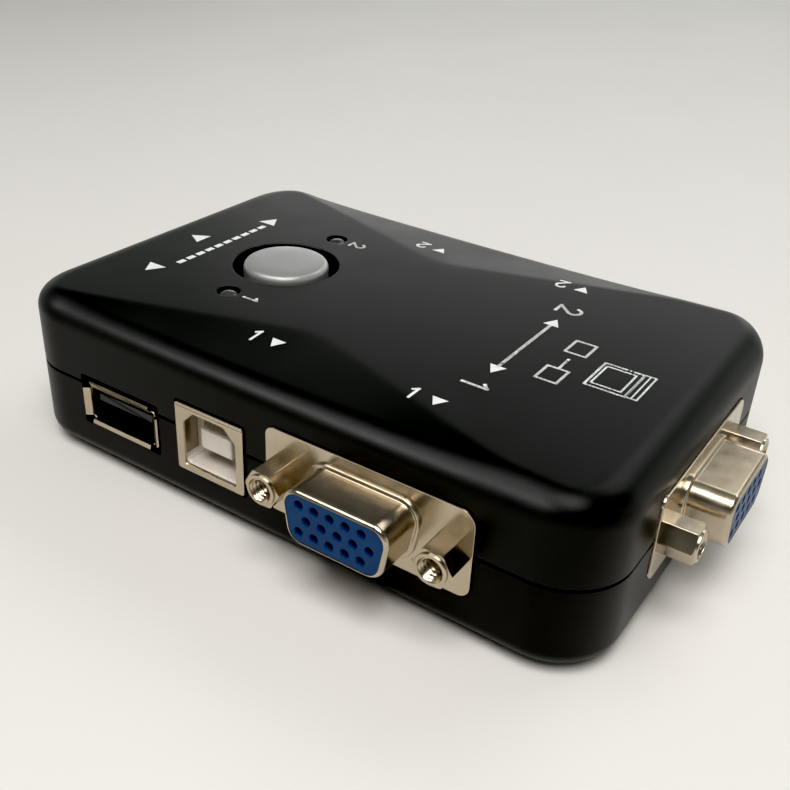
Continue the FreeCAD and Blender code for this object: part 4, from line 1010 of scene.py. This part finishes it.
def numeral_two(width=NUMERAL_WIDTH):
    bow = arc((0, 0.55), NUMERAL_SIDE, 165, -40, 9)
    return strokes(bow + [(-NUMERAL_SIDE, -NUMERAL_HIGH), (0.75, -NUMERAL_HIGH)], width)


def frame_loops(half_x, half_y, width):
    """The outline of a rectangle in four strokes."""
    corners = [(-half_x, -half_y), (half_x, -half_y), (half_x, half_y), (-half_x, half_y)]
    return strokes(corners + corners[:1], width)


def on_case(x, y):
    return CASE_X + x, y


def button_marks():
    """Three arrowheads and a dashed line at the button's end."""
    scale = 1.35
    arrowheads = {"front": (-35.6, -14.0, 180), "end": (-38.7, -0.7, 90), "back": (-34.3, 12.4, 0)}
    for side, (x, y, heading) in arrowheads.items():
        printed(f"mark_arrow_{side}", [TRIANGLE], on_case(x, y), heading, scale)
    start, pitch, dash, width = -9.2, 2.1, 0.6, 0.9
    dashes = [bar(0, start + pitch * i, 0, start + dash + pitch * i, width) for i in range(10)]
    printed("mark_link", dashes, on_case(-33.8, -0.7), 0)


def numeral_marks():
    """A numeral by each lamp, and one with an arrowhead over each socket of the two long sides."""
    scale, out, arrow_step = 0.95, 21.0, 3.4
    lamp_x, lamp_y = BUTTON_X + 4.2, LAMPS["indicator_second"].y
    sockets_x = {"usb": USB_B["front"].translation.x, "video": VIDEO["front"].translation.x}
    for side, numeral, name in ((-1, numeral_one(), "first"), (1, numeral_two(), "second")):
        printed(f"mark_{name}_lamp", numeral, (lamp_x, side * lamp_y), END_READ, scale)
        reading = 0 if side < 0 else 180
        for socket, x in sockets_x.items():
            printed(f"mark_{name}_{socket}", numeral, (x, side * out), reading, scale)
            spot = (x + arrow_step, side * out)
            printed(f"mark_{name}_{socket}_arrow", [TRIANGLE], spot, reading + 180, scale)


def picture_marks():
    """The choice between first and second, two computers, and the screen with its keyboard."""
    choice_x, scale, width = 21.4, 1.4, 0.34
    printed("mark_choice_first", numeral_one(width), on_case(choice_x, -14.6), END_READ, scale)
    printed("mark_choice_second", numeral_two(width), on_case(choice_x, 13.0), END_READ, scale)
    shaft = strokes([(0, -8.6), (0, 7.0)], 0.5)
    heads = [[(-1.2, -8.4), (0, -10.6), (1.2, -8.4)], [(-1.2, 6.8), (1.2, 6.8), (0, 9.0)]]
    printed("mark_choice_arrow", shaft + heads, on_case(choice_x, 0), 0)
    computer = frame_loops(1.5, 1.9, 0.4)
    link = strokes([(0, 2.2), (0, 5.0)], 0.4)
    printed("mark_computers", computer + link, on_case(27.9, -6.0), 0)
    printed("mark_computers_far", computer, on_case(27.9, 2.9), 0)
    screen_half, thin = 3.45, 0.28
    printed("mark_monitor", frame_loops(2.75, screen_half, 0.34), on_case(34.95, -2.15), 0)
    printed("mark_monitor_glass", frame_loops(2.05, 2.65, thin), on_case(34.8, -2.1), 0)
    keys = frame_loops(0.75, screen_half, thin) + strokes([(0, -3.4), (0, 3.4)], 0.22)
    printed("mark_keyboard", keys, on_case(38.5, -2.05), 0)


# ---- Camera, lights and floor
CAMERA_AZIMUTH, CAMERA_ELEVATION, CAMERA_ROLL = (math.radians(angle) for angle in (32.42, 30.41, 2.97))
CAMERA_SPOT = (CASE_X + 71.7, -112.3, PART_LINE + 74.05)
LENS = 45.73
SENSOR = 36.0
NEAREST = 0.005
FARTHEST = 20.0
ORIGIN = (0, 0, 0)
TABLE_HALF = 3000.0
ROOM_STOPS = [(0.001, 0.9), (0.2, 0.85), (0.34, 0.38), (0.43, 0.12), (0.8, 0.1), (0.999, 0.3)]
ROOM_TINT = (0.95, 1.0, 0.94)
ROOM_SPAN = {"From Min": -0.5, "From Max": 0.3, "To Min": 0.35, "To Max": 1.1}
BLACK_LEVEL = 0.014


def camera():
    """The camera looks at the front and the monitor connector's end from above, a little rolled."""
    tilt = math.radians(90) - CAMERA_ELEVATION
    turn = Matrix.Rotation(CAMERA_AZIMUTH, 4, "Z") @ Matrix.Rotation(tilt, 4, "X")
    turn = turn @ Matrix.Rotation(CAMERA_ROLL, 4, "Z")
    data = bpy.data.cameras.new("camera")
    data.sensor_width = SENSOR
    data.lens = LENS
    data.clip_start = NEAREST
    data.clip_end = FARTHEST
    thing = bpy.data.objects.new("camera", data)
    bpy.context.scene.collection.objects.link(thing)
    thing.matrix_world = Matrix.Translation(Vector(CAMERA_SPOT) * MM) @ turn
    bpy.context.scene.camera = thing


def towards(azimuth, elevation, distance):
    """A point in metres: azimuth from +y towards +x and elevation, in degrees."""
    turn, rise = math.radians(azimuth), math.radians(elevation)
    return (distance * math.sin(turn) * math.cos(rise), distance * math.cos(turn) * math.cos(rise),
            distance * math.sin(rise))


def lamp(name, spot, target, size, power, colour=(1, 1, 1)):
    """A rectangular lamp; its place and size are in metres and its power in watts."""
    data = bpy.data.lights.new(name, "AREA")
    data.shape = "RECTANGLE"
    data.size, data.size_y = size
    data.energy = power
    data.color = colour
    thing = bpy.data.objects.new(name, data)
    bpy.context.scene.collection.objects.link(thing)
    thing.location = spot
    thing.rotation_euler = (Vector(target) - Vector(spot)).to_track_quat("-Z", "Y").to_euler()
    return thing


def table():
    """The plain pale floor."""
    paint = Paint("table", srgb(240, 238, 233), 0.6)
    paint.tint(paint.noise(220.0, 3.0), srgb(238, 236, 231), srgb(242, 240, 235))
    paint.rough(paint.noise(30.0, 3.0), 0.55, 0.65)
    paint.bump(paint.noise(1.2, 3.0), 0.01)
    corners = [(sx * TABLE_HALF, sy * TABLE_HALF, 0) for sx, sy in ((-1, -1), (1, -1), (1, 1), (-1, 1))]
    floor = new_object("floor", corners, [(0, 1, 2, 3)])
    floor.data.materials.append(paint.material)


def room():
    """Soft studio surroundings: bright near the horizon, dim higher up, and dimmer in front.

    ROOM_STOPS holds (sine of the elevation, brightness) pairs; ROOM_SPAN fades along y.
    """
    world = bpy.data.worlds.new("room")
    bpy.context.scene.world = world
    world.use_nodes = True
    tree = world.node_tree
    background = tree.nodes["Background"].inputs
    direction = tree.nodes.new("ShaderNodeTexCoord").outputs["Generated"]
    split = tree.nodes.new("ShaderNodeSeparateXYZ")
    tree.links.new(direction, split.inputs["Vector"])
    ramp = tree.nodes.new("ShaderNodeValToRGB")
    ramp.color_ramp.interpolation = "EASE"
    stops = ramp.color_ramp.elements
    for place, brightness in ROOM_STOPS:
        stop = stops.new(place)
        stop.color = (*(brightness * share for share in ROOM_TINT), 1)
    stops.remove(stops[0])
    stops.remove(stops[-1])
    tree.links.new(split.outputs["Z"], ramp.inputs["Fac"])
    tree.links.new(ramp.outputs["Color"], background["Color"])
    ranger = tree.nodes.new("ShaderNodeMapRange")
    for socket, number in ROOM_SPAN.items():
        ranger.inputs[socket].default_value = number
    tree.links.new(split.outputs["Y"], ranger.inputs["Value"])
    tree.links.new(ranger.outputs["Result"], background["Strength"])


def lamps(top_shell):
    """The key and the backdrop only show in reflections, and the streak only on the upper shell."""
    key = lamp("key", towards(-140, 53, 0.8), ORIGIN, size=(0.3, 0.3), power=1.7)
    key.visible_diffuse = False
    streak = lamp("streak", towards(-148, 36, 0.8), ORIGIN, size=(0.42, 0.16), power=3.8)
    streak.light_linking.receiver_collection = bpy.data.collections.new("streak_on")
    streak.light_linking.receiver_collection.objects.link(top_shell)
    lamp("overhead", (0.12, -0.26, 0.6), (0.03, -0.1, 0), size=(0.4, 0.4), power=3.8,
         colour=(1.0, 0.97, 0.96))
    lamp("window", towards(16, 44, 0.8), ORIGIN, size=(0.5, 0.28), power=1.15)
    backdrop = lamp("backdrop", towards(-20, 12, 1.5), (0, 0, 0.05), size=(1.3, 0.4), power=2.6)
    backdrop.visible_diffuse = False


def display():
    """The plain display transform, with its black level set."""
    view = bpy.context.scene.view_settings
    view.view_transform = "Standard"
    view.look = "None"
    view.use_curve_mapping = True
    view.curve_mapping.black_level = (BLACK_LEVEL,) * 3
    view.curve_mapping.update()


repaint_nodes()
case_upper = case_top()
case_bottom()
sockets()
button()
indicators()
feet()
case_screws()
button_marks()
numeral_marks()
picture_marks()
camera()
table()
room()
lamps(case_upper)
display()
